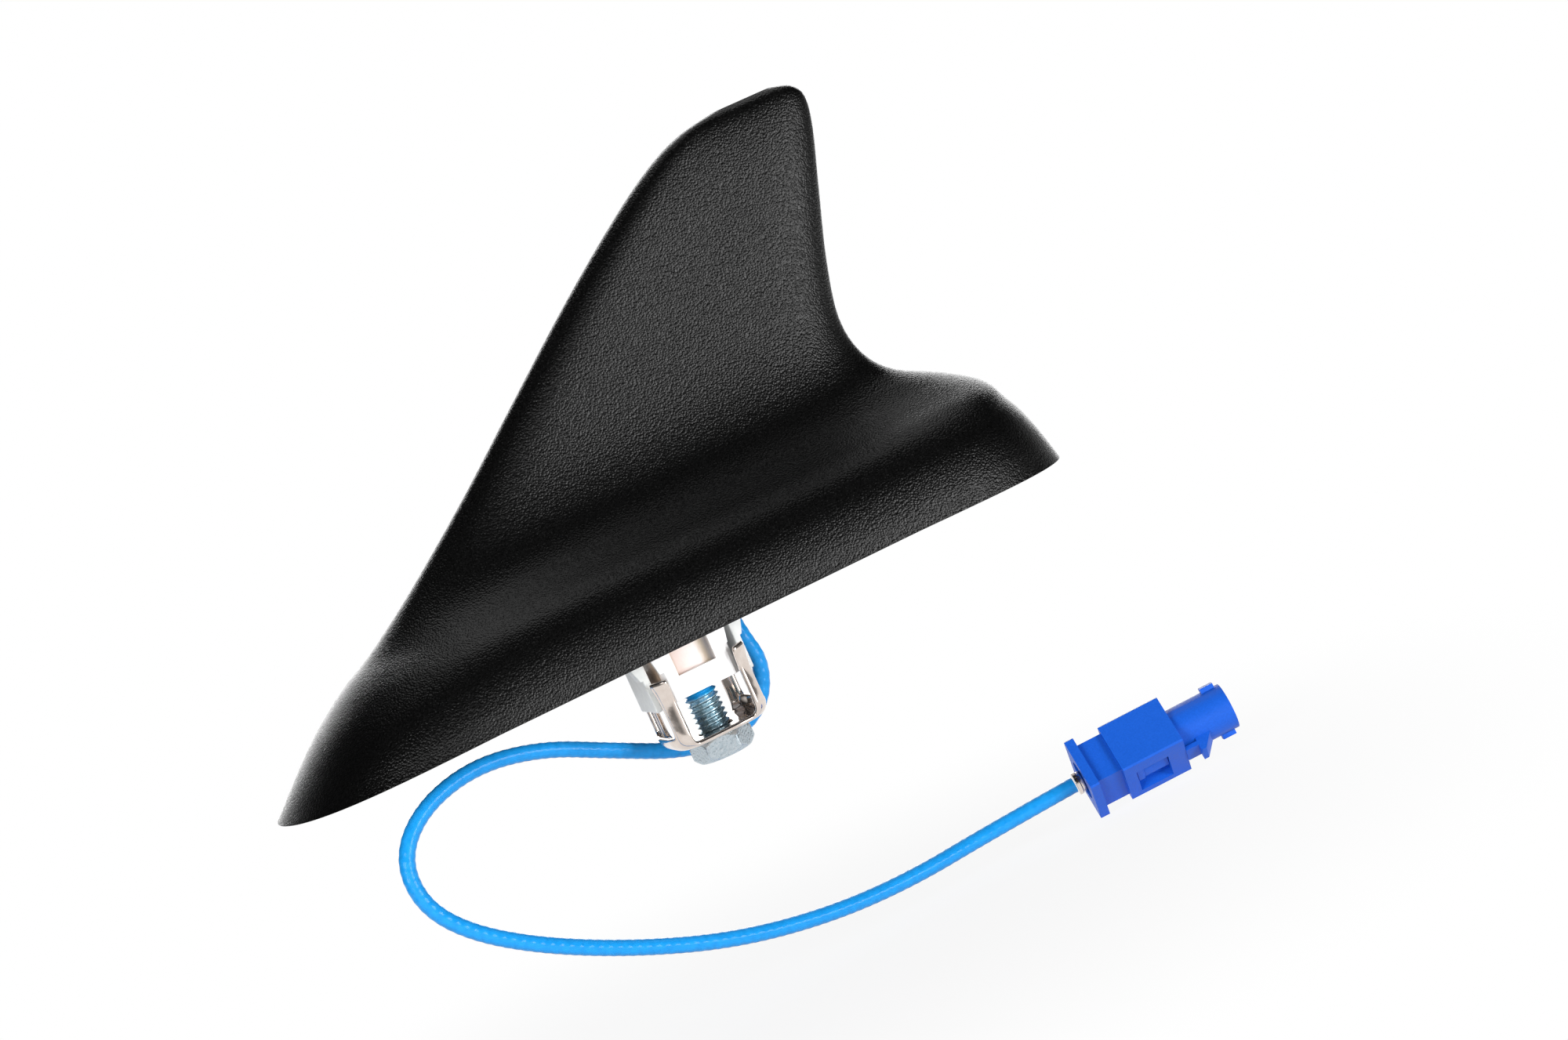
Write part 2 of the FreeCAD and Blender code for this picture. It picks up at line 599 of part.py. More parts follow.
def clamp_bolt():
    """A hexagon bolt whose head is chamfered above and below."""
    under_head = "-claw_floor - claw_sheet"
    head = doc.addObject("Part::Prism", "head_hexagon")
    head.Polygon = 6
    bind(head, Circumradius="head_across / sqrt(3)", Height="head_tall")
    put(head, "0", "0", f"{under_head} - head_tall")
    head.Placement.Rotation = Rotation(UP, value("head_turn"))
    turned = rod("head_round", "2 * head_across / sqrt(3)", "head_tall", "0", "0", f"{under_head} - head_tall")
    doc.recompute()
    bevel = doc.addObject("Part::Chamfer", "head_turned")
    bevel.Base = turned
    rims = [n for n, edge in enumerate(turned.Shape.Edges, start=1) if isinstance(edge.Curve, Part.Circle)]
    bevel.Edges = [(n, value("head_edge"), value("head_edge") * math.sqrt(3)) for n in rims]
    chamfered = common("head_chamfered", head, bevel)
    shank = rod("bolt_shank", "bolt_dia", "bolt_length - bolt_point", "0", "0", under_head)
    point = bind(
        doc.addObject("Part::Cone", "bolt_point"),
        Radius1="bolt_dia / 2", Radius2="bolt_dia / 2 - bolt_point", Height="bolt_point",
    )
    put(point, "0", "0", f"{under_head} + bolt_length - bolt_point")
    return fuse("clamp_bolt", [chamfered, shank, point])


def circuit_board():
    x = "-board_front"
    y = "-board_wide / 2"
    z = f"{plate_top} + board_stand"
    blank = box("board_blank", "board_long", "board_wide", "board_thick", x, y, z)
    holes = [
        rod(f"board_hole_{n}", "board_screw + 2 * bore_gap", "board_thick", px, py, z) for n, px, py in PILLARS
    ]
    feed = rod("board_feed", "feed_dia + 2 * grommet_gap", "board_thick", feed_x, "0", z)
    return cut("circuit_board", blank, holes + [feed])


def board_screws():
    screws = []
    grip = f"{plate_top} - board_screw_grip"
    for name, x, y in PILLARS:
        shank_long = "board_screw_grip + board_stand + board_thick"
        shank = rod(f"board_shank_{name}", "board_screw", shank_long, x, y, grip)
        head = rod(f"board_head_{name}", "board_screw_head", "board_screw_tall", x, y, board_top)
        screws.append(fuse(f"board_screw_{name}", [head, shank]))
    group = doc.addObject("Part::Compound", "board_screws")
    group.Links = screws
    return group


patch_front = "(-board_front + patch_edge)"
feed_x = f"{patch_front} + patch_side / 2 + feed_shift"


def patch_antenna():
    """A square of ceramic on the board, with a hole for its feed pin."""
    blank = box("patch_blank", "patch_side", "patch_side", "patch_thick",
                patch_front, "-patch_side / 2", board_top)
    tile = soften("patch_tile", "Part::Chamfer", blank, value("patch_corner"), UP)
    hole = rod("patch_hole", "feed_dia + 2 * grommet_gap", "patch_thick", feed_x, "0", board_top)
    return cut("patch_antenna", tile, [hole])


def feed_pin():
    """The patch's pin: its head lies on the ceramic and its foot is soldered under the board."""
    foot = f"{plate_top} + board_stand"
    shank = rod("feed_shank", "feed_dia", "board_thick + patch_thick", feed_x, "0", foot)
    head = rod("feed_top", "feed_head", "feed_head_tall", feed_x, "0", f"{board_top} + patch_thick")
    return fuse("feed_pin", [shank, head])


def shield_can():
    """A folded tin lid over the amplifier, open below."""
    front = f"{patch_front} + patch_side + can_gap"
    lid = box("can_lid", "can_long", "can_wide", "can_tall", front, "-can_wide / 2", board_top)
    room = box(
        "can_room", "can_long - 2 * can_sheet", "can_wide - 2 * can_sheet", "can_tall - can_sheet",
        f"{front} + can_sheet", "-can_wide / 2 + can_sheet", board_top,
    )
    return cut("shield_can", lid, [room])


def cable_grommet():
    """A rubber sleeve that carries the lead through the base plate."""
    at = ("exit_back", exit_side)
    neck = rod("grommet_neck", "grommet_neck", "plate_thick", *at, "gasket_thick")
    top = rod("grommet_top", "grommet_flange", "grommet_lip", *at, plate_top)
    low = rod("grommet_low", "grommet_flange", "grommet_lip", *at, "gasket_thick - grommet_lip")
    tail = rod("grommet_tail", "grommet_tail", "gasket_thick + exit_drop", *at, "-exit_drop")
    blank = fuse("grommet_blank", [neck, top, low, tail])
    bore_tall = f"exit_drop + {plate_top} + grommet_lip"
    bore = rod("grommet_bore", "cable_dia + 2 * grommet_gap", bore_tall, *at, "-exit_drop")
    return cut("cable_grommet", blank, [bore])


def tube(path_edges, start, heading):
    """A round lead swept along a path of lines and tangent arcs."""
    ring = Part.Circle(start, heading, value("cable_dia") / 2)
    profile = Part.Wire([ring.toShape()])
    path = Part.Wire(path_edges)
    solid = path.makePipeShell([profile], True, False)
    section = math.pi * (value("cable_dia") / 2) ** 2
    print(f"tube: length {path.Length:.1f} mm, volume over section times length",
          f"{solid.Volume / (section * path.Length):.4f}")
    return solid


def inner_lead():
    """The end of the lead inside: up through the grommet, then forward on to the board."""
    start = exit_place(-value("exit_drop"))
    x = start.x
    y = start.y
    turn = value("lead_turn")
    board_face = (
        value("gasket_thick") + value("plate_thick") + value("board_stand") + value("board_thick")
    )
    top = board_face + value("lead_rest") + value("cable_dia") / 2
    board_back = -value("board_front") + value("board_long")
    bend_start = Vector(x, y, top - turn)
    bend_end = Vector(x - turn, y, top)
    slack = turn * (1 - math.sqrt(0.5))
    path = [
        Part.LineSegment(start, bend_start).toShape(),
        Part.Arc(bend_start, Vector(x - slack, y, top - slack), bend_end).toShape(),
        Part.LineSegment(bend_end, Vector(board_back - value("lead_overlap"), y, top)).toShape(),
    ]
    return carrier("inner_lead", tube(path, start, UP))


def lead_saddle():
    """A tin bridge soldered to the board over the lead's end."""
    outside = "(cable_dia + 2 * (grommet_gap + saddle_sheet))"
    x = "-board_front + board_long - saddle_long"
    tall = "cable_dia + lead_rest + grommet_gap + saddle_sheet"
    bridge = box("saddle_bridge", "saddle_long", outside, tall, x, f"{exit_side} - {outside} / 2", board_top)
    room_wide = "(cable_dia + 2 * grommet_gap)"
    room = box("saddle_room", "saddle_long", room_wide, "cable_dia + lead_rest + grommet_gap",
               x, f"{exit_side} - {room_wide} / 2", board_top)
    return cut("lead_saddle", bridge, [room])


# The lead's route outside, from the grommet to the plug: out behind the clamp, back past the bolt,
# forward under the nose, round a loop and along the floor to the plug.
ROUTE_MIDDLE = [
    (14.3, 13.2, -6.6),
    (15.7, 13.6, -12.6),
    (12.9, 14.2, -19.2),
    (6.2, 14.4, -22.4),
    (-4.0, 14.1, -20.8),
    (-15.6, 13.2, -15.0),
    (-27.0, 11.4, -9.0),
    (-39.5, 8.8, -6.2),
    (-51.0, 6.4, -8.4),
    (-58.0, 4.9, -14.4),
    (-58.6, 4.1, -22.8),
    (-53.6, 3.6, -30.6),
    (-43.0, 3.2, -38.6),
    (-28.0, 3.0, -46.6),
    (-11.5, 3.4, -53.2),
    (6.0, 5.2, -57.2),
    (23.0, 7.8, -58.7),
    (40.4, 9.2, -57.9),
]
ARC_SHARE = 0.45  # of the shorter run, used up by the arc at a corner


def plug_placement():
    """Where the lead enters the plug, with +X along the plug."""
    entry = Vector(value("plug_x"), value("plug_y"), -value("plug_drop"))
    yaw = Rotation(UP, value("plug_yaw"))
    pitch = Rotation(ACROSS, -value("plug_pitch"))
    roll = Rotation(AHEAD, value("plug_roll"))
    return Placement(entry, yaw.multiply(pitch).multiply(roll))


def coax_cable():
    """The free lead: straight runs joined by the largest tangent arcs that they leave room for."""
    joint = value("lead_joint")
    exit_point = exit_place(-value("exit_drop") - joint)
    entry_point = plug_placement().multVec(Vector(-joint, 0, 0))
    route = [exit_point] + [Vector(*point) for point in ROUTE_MIDDLE] + [entry_point]
    print("lead: entry to the plug", [round(n, 3) for n in entry_point])
    edges = []
    radii = []
    last = route[0]
    for before, corner, after in zip(route, route[1:], route[2:]):
        back = (before - corner).normalize()
        ahead = (after - corner).normalize()
        half_turn = (math.pi - back.getAngle(ahead)) / 2
        trim = ARC_SHARE * min((before - corner).Length, (after - corner).Length)
        radius = trim / math.tan(half_turn)
        inward = (back + ahead).normalize()
        middle = corner + inward * (radius / math.cos(half_turn) - radius)
        start = corner + back * trim
        end = corner + ahead * trim
        edges.append(Part.LineSegment(last, start).toShape())
        edges.append(Part.Arc(start, middle, end).toShape())
        radii.append(round(radius, 1))
        last = end
    edges.append(Part.LineSegment(last, route[-1]).toShape())
    print("lead: arc radii", radii)
    return carrier("coax_cable", tube(edges, route[0], route[1] - route[0]))


# The plug, drawn along +X from the lead's entry and then laid on the floor.
flange_x = "ferrule_show"
neck_x = f"({flange_x} + flange_thick)"
body_x = f"({neck_x} + neck_long)"
nose_x = f"({body_x} + body_long)"
front_x = f"({nose_x} + plug_nose_long)"


def square(name, side, long, x):
    return box(name, long, side, side, x, f"-({side}) / 2", f"-({side}) / 2")


def key_rib(name, turn):
    """A rib on the nose, turned about the plug's axis."""
    x = f"{front_x} - key_setback - key_long"
    rib = box(name, "key_long", "key_wide", "plug_nose / 2 + key_tall - plug_nose_wall / 2",
              x, "0", "0")
    lean = Rotation(AHEAD, turn)
    foot = lean.multVec(Vector(0, -value("key_wide") / 2, value("plug_nose_wall") / 2))
    rib.Placement.Rotation = lean
    return put(rib, x, str(foot.y), str(foot.z))


def catch():
    """An arm under the nose with a hook that slopes towards the front."""
    arm = box("catch_arm", "catch_reach + hook_tip", "catch_wide", "catch_arm",
              nose_x, "-catch_wide / 2", "-catch_low")
    hook = bind(
        doc.addObject("Part::Wedge", "catch_hook"),
        Xmin="0", Xmax="hook_long", Zmin="0", Zmax="catch_wide",
        Ymin="0", Ymax="hook_drop + catch_low - plug_nose / 2 + plug_nose_wall / 2",
        X2min="0", X2max="hook_tip", Z2min="0", Z2max="catch_wide",
    )
    hook.Placement.Rotation = Rotation(AHEAD, -90)
    put(hook, f"{nose_x} + catch_reach", "-catch_wide / 2", "-plug_nose / 2 + plug_nose_wall / 2")
    return [arm, hook]


def plug_housing():
    """A blue moulding: flange, neck, square body, and a round nose with keys and a catch."""
    flange = square("flange_block", "flange_side", "flange_thick", flange_x)
    flange = soften("plug_flange", "Part::Chamfer", flange, value("plug_edge"), AHEAD)
    neck = square("plug_neck", "neck_side", "neck_long", neck_x)
    body = square("body_block", "body_side", "body_long", body_x)
    body = soften("plug_body", "Part::Chamfer", body, value("plug_edge"), AHEAD)
    nose = level_rod("plug_nose", "plug_nose", "plug_nose_long", nose_x)
    keys = [key_rib("key_top", value("key_turn")), key_rib("key_low", value("key_turn") + 180)]
    solid = fuse("plug_solid", [flange, neck, body, nose] + keys + catch())
    ferrule_room = level_rod("ferrule_room", "ferrule_dia + 2 * grommet_gap",
                             "ferrule_length - ferrule_show", flange_x)
    through_x = "ferrule_length"
    through_long = f"{front_x} - {through_x}"
    contact_room = level_rod("contact_room", "contact_root + 2 * grommet_gap", through_long, through_x)
    socket = level_rod("plug_socket", "plug_nose - 2 * plug_nose_wall", "socket_deep",
                       f"{front_x} - socket_deep")
    recess = level_rod("flange_recess", "recess_dia", "recess_deep", flange_x)
    window = box("lock_window", "lock_long", "lock_wide", "lock_deep", lock_x, lock_y, "-body_side / 2")
    return cut("plug_housing", solid, [ferrule_room, contact_room, socket, recess, window])


lock_x = f"({body_x} + body_long - lock_setback - lock_long)"
lock_y = "(lock_shift - lock_wide / 2)"


def lock_slide():
    """The second lock: a slide pressed into one side of the body's window."""
    slide = box("lock_block", "lock_long - 2 * grommet_gap", "lock_slide_wide", "lock_deep - lock_sink",
                f"{lock_x} + grommet_gap", f"{lock_y} + grommet_gap", "-body_side / 2 + lock_sink")
    grip_long = "lock_long / 5"
    grip = box("lock_grip", grip_long, "lock_slide_wide", "lock_sink / 2",
               f"{lock_x} + grommet_gap", f"{lock_y} + grommet_gap", "-body_side / 2 + lock_sink / 2")
    return fuse("lock_slide", [slide, grip])


def crimp_ferrule():
    """The crimped sleeve that holds the lead in the plug, with a rolled rim where the lead goes in."""
    sleeve = level_rod("ferrule_sleeve", "ferrule_dia - 2 * ferrule_rim", "ferrule_length", "0")
    rim = level_rod("ferrule_rim", "ferrule_dia", "ferrule_show / 2", "0")
    return fuse("crimp_ferrule", [sleeve, rim])


contact_x = "ferrule_length"
socket_x = f"({front_x} - socket_deep)"


def outer_contact():
    """A tube round the plug's insulator: a root in the body and a free end in the socket."""
    root = level_rod("contact_root", "contact_root", f"{socket_x} - {contact_x}", contact_x)
    free = level_rod("contact_free", "contact_dia", "socket_deep - contact_short", socket_x)
    blank = fuse("contact_blank", [root, free])
    bore_long = f"{front_x} - contact_short - {contact_x}"
    bore = level_rod("contact_bore", "contact_dia - 2 * contact_wall", bore_long, contact_x)
    return cut("outer_contact", blank, [bore])


def contact_insulator():
    blank = level_rod("insulator_blank", "contact_dia - 2 * contact_wall - 2 * grommet_gap",
                      "insulator_long", contact_x)
    bore = level_rod("insulator_bore", "pin_dia + 2 * grommet_gap", "insulator_long", contact_x)
    return cut("contact_insulator", blank, [bore])


def centre_contact():
    """The centre pin, tapered at its tip."""
    tip_x = f"({front_x} - pin_short - pin_dia)"
    pin = level_rod("pin_rod", "pin_dia", f"{tip_x} - {contact_x}", contact_x)
    tip = bind(
        doc.addObject("Part::Cone", "pin_tip"),
        Radius1="pin_dia / 2", Radius2="pin_dia / 4", Height="pin_dia",
    )
    tip.Placement.Rotation = Rotation(ACROSS, 90)
    put(tip, tip_x)
    return fuse("centre_contact", [pin, tip])


SUB_PARTS = [
    fin_cover(), base_plate(), roof_gasket(), cover_screws(), locating_collar(),
    clamp_claw(), clamp_bolt(),
    circuit_board(), board_screws(), patch_antenna(), feed_pin(), shield_can(),
    cable_grommet(), inner_lead(), lead_saddle(), coax_cable(),
]
ON_PLUG = [
    plug_housing(), lock_slide(), crimp_ferrule(), outer_contact(), contact_insulator(), centre_contact(),
]
doc.recompute()

for item in ON_PLUG:
    item.Placement = plug_placement().multiply(item.Placement)
doc.recompute()

for item in doc.Objects:
    if "Invalid" in item.State or "Error" in item.State:
        raise RuntimeError(f"{item.Label} failed to build")

os.makedirs("parts", exist_ok=True)
for item in SUB_PARTS + ON_PLUG:
    shape = item.Shape
    if shape.isNull() or not shape.isValid():
        raise RuntimeError(f"{item.Label} has no valid shape")
    box_of = shape.BoundBox
    print(f"{item.Label}: {len(shape.Solids)} solids, {shape.Volume:.1f} mm3,",
          f"x {box_of.XMin:.1f} {box_of.XMax:.1f} y {box_of.YMin:.1f} {box_of.YMax:.1f}",
          f"z {box_of.ZMin:.1f} {box_of.ZMax:.1f}")
    shape.exportStep(f"parts/{item.Label}.step")
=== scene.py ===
# %% [markdown]
# # A shark-fin roof antenna
# The antenna sits on a car's roof. A grained black fin covers it, a clamp under the fin goes
# through a hole in the roof, and a short blue lead ends in a blue plug. The solids come from the
# CAD model, so this lesson is about surfaces: smooth skins, a thread, a lead, finishes and light.
# Everything is in metres, with the roof at z = 0 and the tail of the fin along +X.

# %% The frame
import math

import bmesh
import bpy
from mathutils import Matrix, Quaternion, Vector


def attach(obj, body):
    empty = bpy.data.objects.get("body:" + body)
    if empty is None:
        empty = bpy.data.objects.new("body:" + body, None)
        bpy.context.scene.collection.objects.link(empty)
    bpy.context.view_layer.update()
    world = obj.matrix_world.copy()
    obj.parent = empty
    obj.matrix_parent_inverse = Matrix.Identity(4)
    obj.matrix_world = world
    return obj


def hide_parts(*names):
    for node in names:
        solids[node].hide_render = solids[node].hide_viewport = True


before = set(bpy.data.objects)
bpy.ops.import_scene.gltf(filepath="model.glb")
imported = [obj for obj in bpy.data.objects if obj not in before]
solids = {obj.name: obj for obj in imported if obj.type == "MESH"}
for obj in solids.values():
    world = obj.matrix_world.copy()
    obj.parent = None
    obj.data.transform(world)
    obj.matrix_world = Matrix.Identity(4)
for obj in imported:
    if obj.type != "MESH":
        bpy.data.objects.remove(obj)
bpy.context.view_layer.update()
scene = bpy.context.scene
scene.view_settings.view_transform = "Standard"
MM = 0.001

# %% [markdown]
# ## The camera
# The picture looks at the fin from its left, a little ahead of it and a little above the roof. It is
# also turned in the frame, so that the nose points down to the left. A quaternion that looks along a
# direction, times a turn about the camera's own Z axis, says that more plainly than Euler angles.

# %% Camera
LOOK_AROUND = math.radians(-15.0)
LOOK_DOWN = math.radians(5.5)
FRAME_TURN = math.radians(24.2)
CAMERA_PLACE = (-0.1398, -0.6206, 0.0717)
LENS, SENSOR_WIDTH = 85.0, 36.0
NEAREST_SEEN = 0.01

look = Vector((
    -math.sin(LOOK_AROUND) * math.cos(LOOK_DOWN),
    math.cos(LOOK_AROUND) * math.cos(LOOK_DOWN),
    -math.sin(LOOK_DOWN),
))
camera = bpy.data.objects.new("camera", bpy.data.cameras.new("camera"))
camera.data.lens = LENS
camera.data.sensor_width = SENSOR_WIDTH
camera.data.clip_start = NEAREST_SEEN
camera.location = CAMERA_PLACE
camera.rotation_mode = "QUATERNION"
camera.rotation_quaternion = look.to_track_quat("-Z", "Y") @ Quaternion((0, 0, 1), -FRAME_TURN)
scene.collection.objects.link(camera)
scene.camera = camera
print("camera looks along", [round(n, 3) for n in look])

# %% [markdown]
# ## The lead's line
# The lead is a thin coaxial cable. A NURBS spline of order 3 runs smoothly near its control points,
# as a springy lead lies, where straight runs with rounded corners would look like bent wire. The
# order and the end points are set after the points are in, or the spline falls back to straight runs.

# %% Route of the lead
LEAD_DIAMETER = 2.9 * MM
LEAD_ROUNDNESS, LEAD_STEPS = 8, 64
LEAD_ROUTE = [
    (13.6, 13.0, -1.2), (14.3, 13.2, -6.6), (15.7, 13.6, -12.6), (12.9, 14.2, -19.2),
    (6.2, 14.4, -22.4), (-4.0, 14.1, -20.8), (-15.6, 13.2, -15.0), (-27.0, 11.4, -9.0),
    (-39.5, 8.8, -6.2), (-51.0, 6.4, -8.4), (-58.0, 4.9, -14.4), (-58.6, 4.1, -22.8),
    (-53.6, 3.6, -30.6), (-43.0, 3.2, -38.6), (-28.0, 3.0, -46.6), (-11.5, 3.4, -53.2),
    (6.0, 5.2, -57.2), (23.0, 7.8, -58.7), (40.4, 9.2, -57.9), (57.205, 6.042, -56.609),
]


def lead_mesh(thickness):
    """The lead's line as Blender works it out: a bare line, or a round tube of that thickness."""
    line = bpy.data.curves.new("lead_line", "CURVE")
    line.dimensions = "3D"
    line.bevel_depth = thickness / 2
    line.bevel_resolution = LEAD_ROUNDNESS
    spline = line.splines.new("NURBS")
    spline.points.add(len(LEAD_ROUTE) - 1)
    for point, place in zip(spline.points, LEAD_ROUTE):
        point.co = (*(MM * n for n in place), 1.0)
    spline.order_u = 3
    spline.use_endpoint_u = True
    spline.resolution_u = LEAD_STEPS
    carrier = bpy.data.objects.new("lead_line", line)
    scene.collection.objects.link(carrier)
    evaluated = carrier.evaluated_get(bpy.context.evaluated_depsgraph_get())
    mesh = bpy.data.meshes.new_from_object(evaluated)
    bpy.data.objects.remove(carrier)
    return mesh


lead_points = [v.co.copy() for v in lead_mesh(0.0).vertices]
lead_walk = [0.0]
for one, other in zip(lead_points, lead_points[1:]):
    lead_walk.append(lead_walk[-1] + (other - one).length)
print("lead:", len(lead_points), "points,", round(lead_walk[-1] / MM, 1), "mm long")

# %% [markdown]
# ## Shared grain
# Moulded plastic, rubber and cast metal all carry a fine grain, at different sizes. One node group
# makes it: a Voronoi texture gives rounded pebbles and a noise breaks up their evenness. The group
# hands out a height for a Bump node and a fleck that varies colour and roughness. A pebble is highest
# at its middle, where the texture's distance is least, so the distance counts downwards.

# %% Grain group
PEBBLE_RISE = -1.2
PEBBLE_SMOOTHNESS = 0.2
FLECK_FROM, FLECK_TO = 0.3, 0.7


def add_node(tree, kind, **settings):
    """A node of a tree with its plain properties set."""
    node = tree.nodes.new(kind)
    for name, setting in settings.items():
        setattr(node, name, setting)
    return node


def grain_group():
    """Pebbles of a given size, as a height and a fleck."""
    group = bpy.data.node_groups.new("pebble_grain", "ShaderNodeTree")
    group.interface.new_socket("Size", in_out="INPUT", socket_type="NodeSocketFloat")
    group.interface.new_socket("Height", in_out="OUTPUT", socket_type="NodeSocketFloat")
    group.interface.new_socket("Fleck", in_out="OUTPUT", socket_type="NodeSocketFloat")
    given = add_node(group, "NodeGroupInput")
    result = add_node(group, "NodeGroupOutput")
    place = add_node(group, "ShaderNodeTexCoord")
    warp = add_node(group, "ShaderNodeTexNoise")
    warp.inputs["Detail"].default_value = 2.0
    pebbles = add_node(group, "ShaderNodeTexVoronoi", feature="SMOOTH_F1")
    pebbles.inputs["Smoothness"].default_value = PEBBLE_SMOOTHNESS
    soften = add_node(group, "ShaderNodeMath", operation="MULTIPLY_ADD")
    soften.inputs[1].default_value = PEBBLE_RISE
    fleck = add_node(group, "ShaderNodeMapRange")
    fleck.inputs["From Min"].default_value = FLECK_FROM
    fleck.inputs["From Max"].default_value = FLECK_TO
    link = group.links.new
    link(place.outputs["Object"], warp.inputs["Vector"])
    link(place.outputs["Object"], pebbles.inputs["Vector"])
    link(given.outputs["Size"], warp.inputs["Scale"])
    link(given.outputs["Size"], pebbles.inputs["Scale"])
    link(pebbles.outputs["Distance"], soften.inputs[0])
    link(warp.outputs["Fac"], soften.inputs[2])
    link(soften.outputs[0], result.inputs["Height"])
    link(warp.outputs["Fac"], fleck.inputs["Value"])
    link(fleck.outputs["Result"], result.inputs["Fleck"])
    return group


pebble_grain = grain_group()
print("group:", pebble_grain.name, [s.name for s in pebble_grain.interface.items_tree])

# %% [markdown]
# A finish then needs only a few numbers: two colours that the fleck moves between, two roughnesses,
# the grain's size in pebbles per metre and how deep it is. What stays the same all over a surface is
# set on the shader itself.


# %% Grained finishes
def grained_finish(name, dark, light, rough, size, depth, metal=0.0, specular=0.5):
    """A finish whose colour, roughness and bump follow the pebble grain."""
    finish = bpy.data.materials.new(name)
    finish.use_nodes = True
    tree = finish.node_tree
    shader = tree.nodes["Principled BSDF"]
    shader.inputs["Metallic"].default_value = metal
    shader.inputs["Specular IOR Level"].default_value = specular
    grain = add_node(tree, "ShaderNodeGroup", node_tree=pebble_grain)
    grain.inputs["Size"].default_value = size
    tint = add_node(tree, "ShaderNodeMix", data_type="RGBA")
    tint.inputs["A"].default_value = (*dark, 1.0)
    tint.inputs["B"].default_value = (*light, 1.0)
    sheen = add_node(tree, "ShaderNodeMapRange")
    sheen.inputs["To Min"].default_value = rough[0]
    sheen.inputs["To Max"].default_value = rough[1]
    bump = add_node(tree, "ShaderNodeBump")
    bump.inputs["Strength"].default_value = 1.0
    bump.inputs["Distance"].default_value = depth
    link = tree.links.new
    link(grain.outputs["Fleck"], tint.inputs["Factor"])
    link(grain.outputs["Fleck"], sheen.inputs["Value"])
    link(grain.outputs["Height"], bump.inputs["Height"])
    link(tint.outputs["Result"], shader.inputs["Base Color"])
    link(sheen.outputs["Result"], shader.inputs["Roughness"])
    link(bump.outputs["Normal"], shader.inputs["Normal"])
    return finish


cover_black = grained_finish(
    "cover_black", (0.0010, 0.0010, 0.0010), (0.0024, 0.0024, 0.0024),
    rough=(0.25, 0.34), size=2700, depth=0.066 * MM,
)
seal_black = grained_finish(
    "seal_black", (0.012, 0.012, 0.012), (0.022, 0.022, 0.022),
    rough=(0.7, 0.85), size=2600, depth=0.04 * MM,
)
plug_blue = grained_finish(
    "plug_blue", (0.008, 0.092, 0.53), (0.011, 0.110, 0.60),
    rough=(0.38, 0.5), size=3200, depth=0.012 * MM, specular=0.35,
)
print("moulded finishes:", cover_black.name, seal_black.name, plug_blue.name)

# %% [markdown]
# The small parts under the cover and inside the plug are steel, tin, gold plate, board, ceramic and
# white plastic. They are seldom seen, so the shared grain is all that they need.

# %% Finishes of the small parts
steel_grey = grained_finish(
    "steel_grey", (0.45, 0.45, 0.46), (0.58, 0.58, 0.59),
    rough=(0.25, 0.4), size=2400, depth=0.006 * MM, metal=1.0,
)
tin_grey = grained_finish(
    "tin_grey", (0.62, 0.62, 0.60), (0.72, 0.72, 0.70),
    rough=(0.3, 0.45), size=900, depth=0.006 * MM, metal=1.0,
)
contact_gold = grained_finish(
    "contact_gold", (0.80, 0.56, 0.20), (0.90, 0.66, 0.27),
    rough=(0.16, 0.28), size=1500, depth=0.003 * MM, metal=1.0,
)
board_green = grained_finish(
    "board_green", (0.01, 0.09, 0.035), (0.02, 0.15, 0.06),
    rough=(0.3, 0.45), size=700, depth=0.01 * MM,
)
patch_ceramic = grained_finish(
    "patch_ceramic", (0.55, 0.44, 0.32), (0.66, 0.55, 0.42),
    rough=(0.5, 0.65), size=1600, depth=0.01 * MM,
)
insulator_white = grained_finish(
    "insulator_white", (0.72, 0.72, 0.70), (0.80, 0.80, 0.78),
    rough=(0.4, 0.5), size=1500, depth=0.005 * MM,
)
print("metals:", steel_grey.name, tin_grey.name, contact_gold.name)
print("others:", board_green.name, patch_ceramic.name, insulator_white.name)

# %% [markdown]
# ## Casting, nickel and nylon
# The base plate and its post are one bright die casting. Down in the recess of the post a colour ramp
# paints shade and a warm reflection on its walls. The claw is nickel-plated spring steel,
# warm and mirror-like with faint drawing marks. The guide round the post is natural nylon: milky, so
# light goes in and scatters.

# %% Casting
RECESS_EDGE, RECESS_FLOOR = 6.9 * MM, 5.5 * MM
RECESS_HALF_WIDTH = 3.6 * MM
# The recess tones are painted shade and a painted warm reflection, not the casting's own colour.
RECESS_LEFT_PAINTED_SHADE = (0.52, 0.37, 0.26, 1.0)
RECESS_RIGHT_PAINTED_SHADE = (0.48, 0.47, 0.48, 1.0)
RECESS_PAINTED_SHADE_BETWEEN = [
    (0.13, (0.84, 0.70, 0.65, 1.0)),
    (0.70, (0.90, 0.82, 0.80, 1.0)),
    (0.86, (0.74, 0.62, 0.48, 1.0)),
]


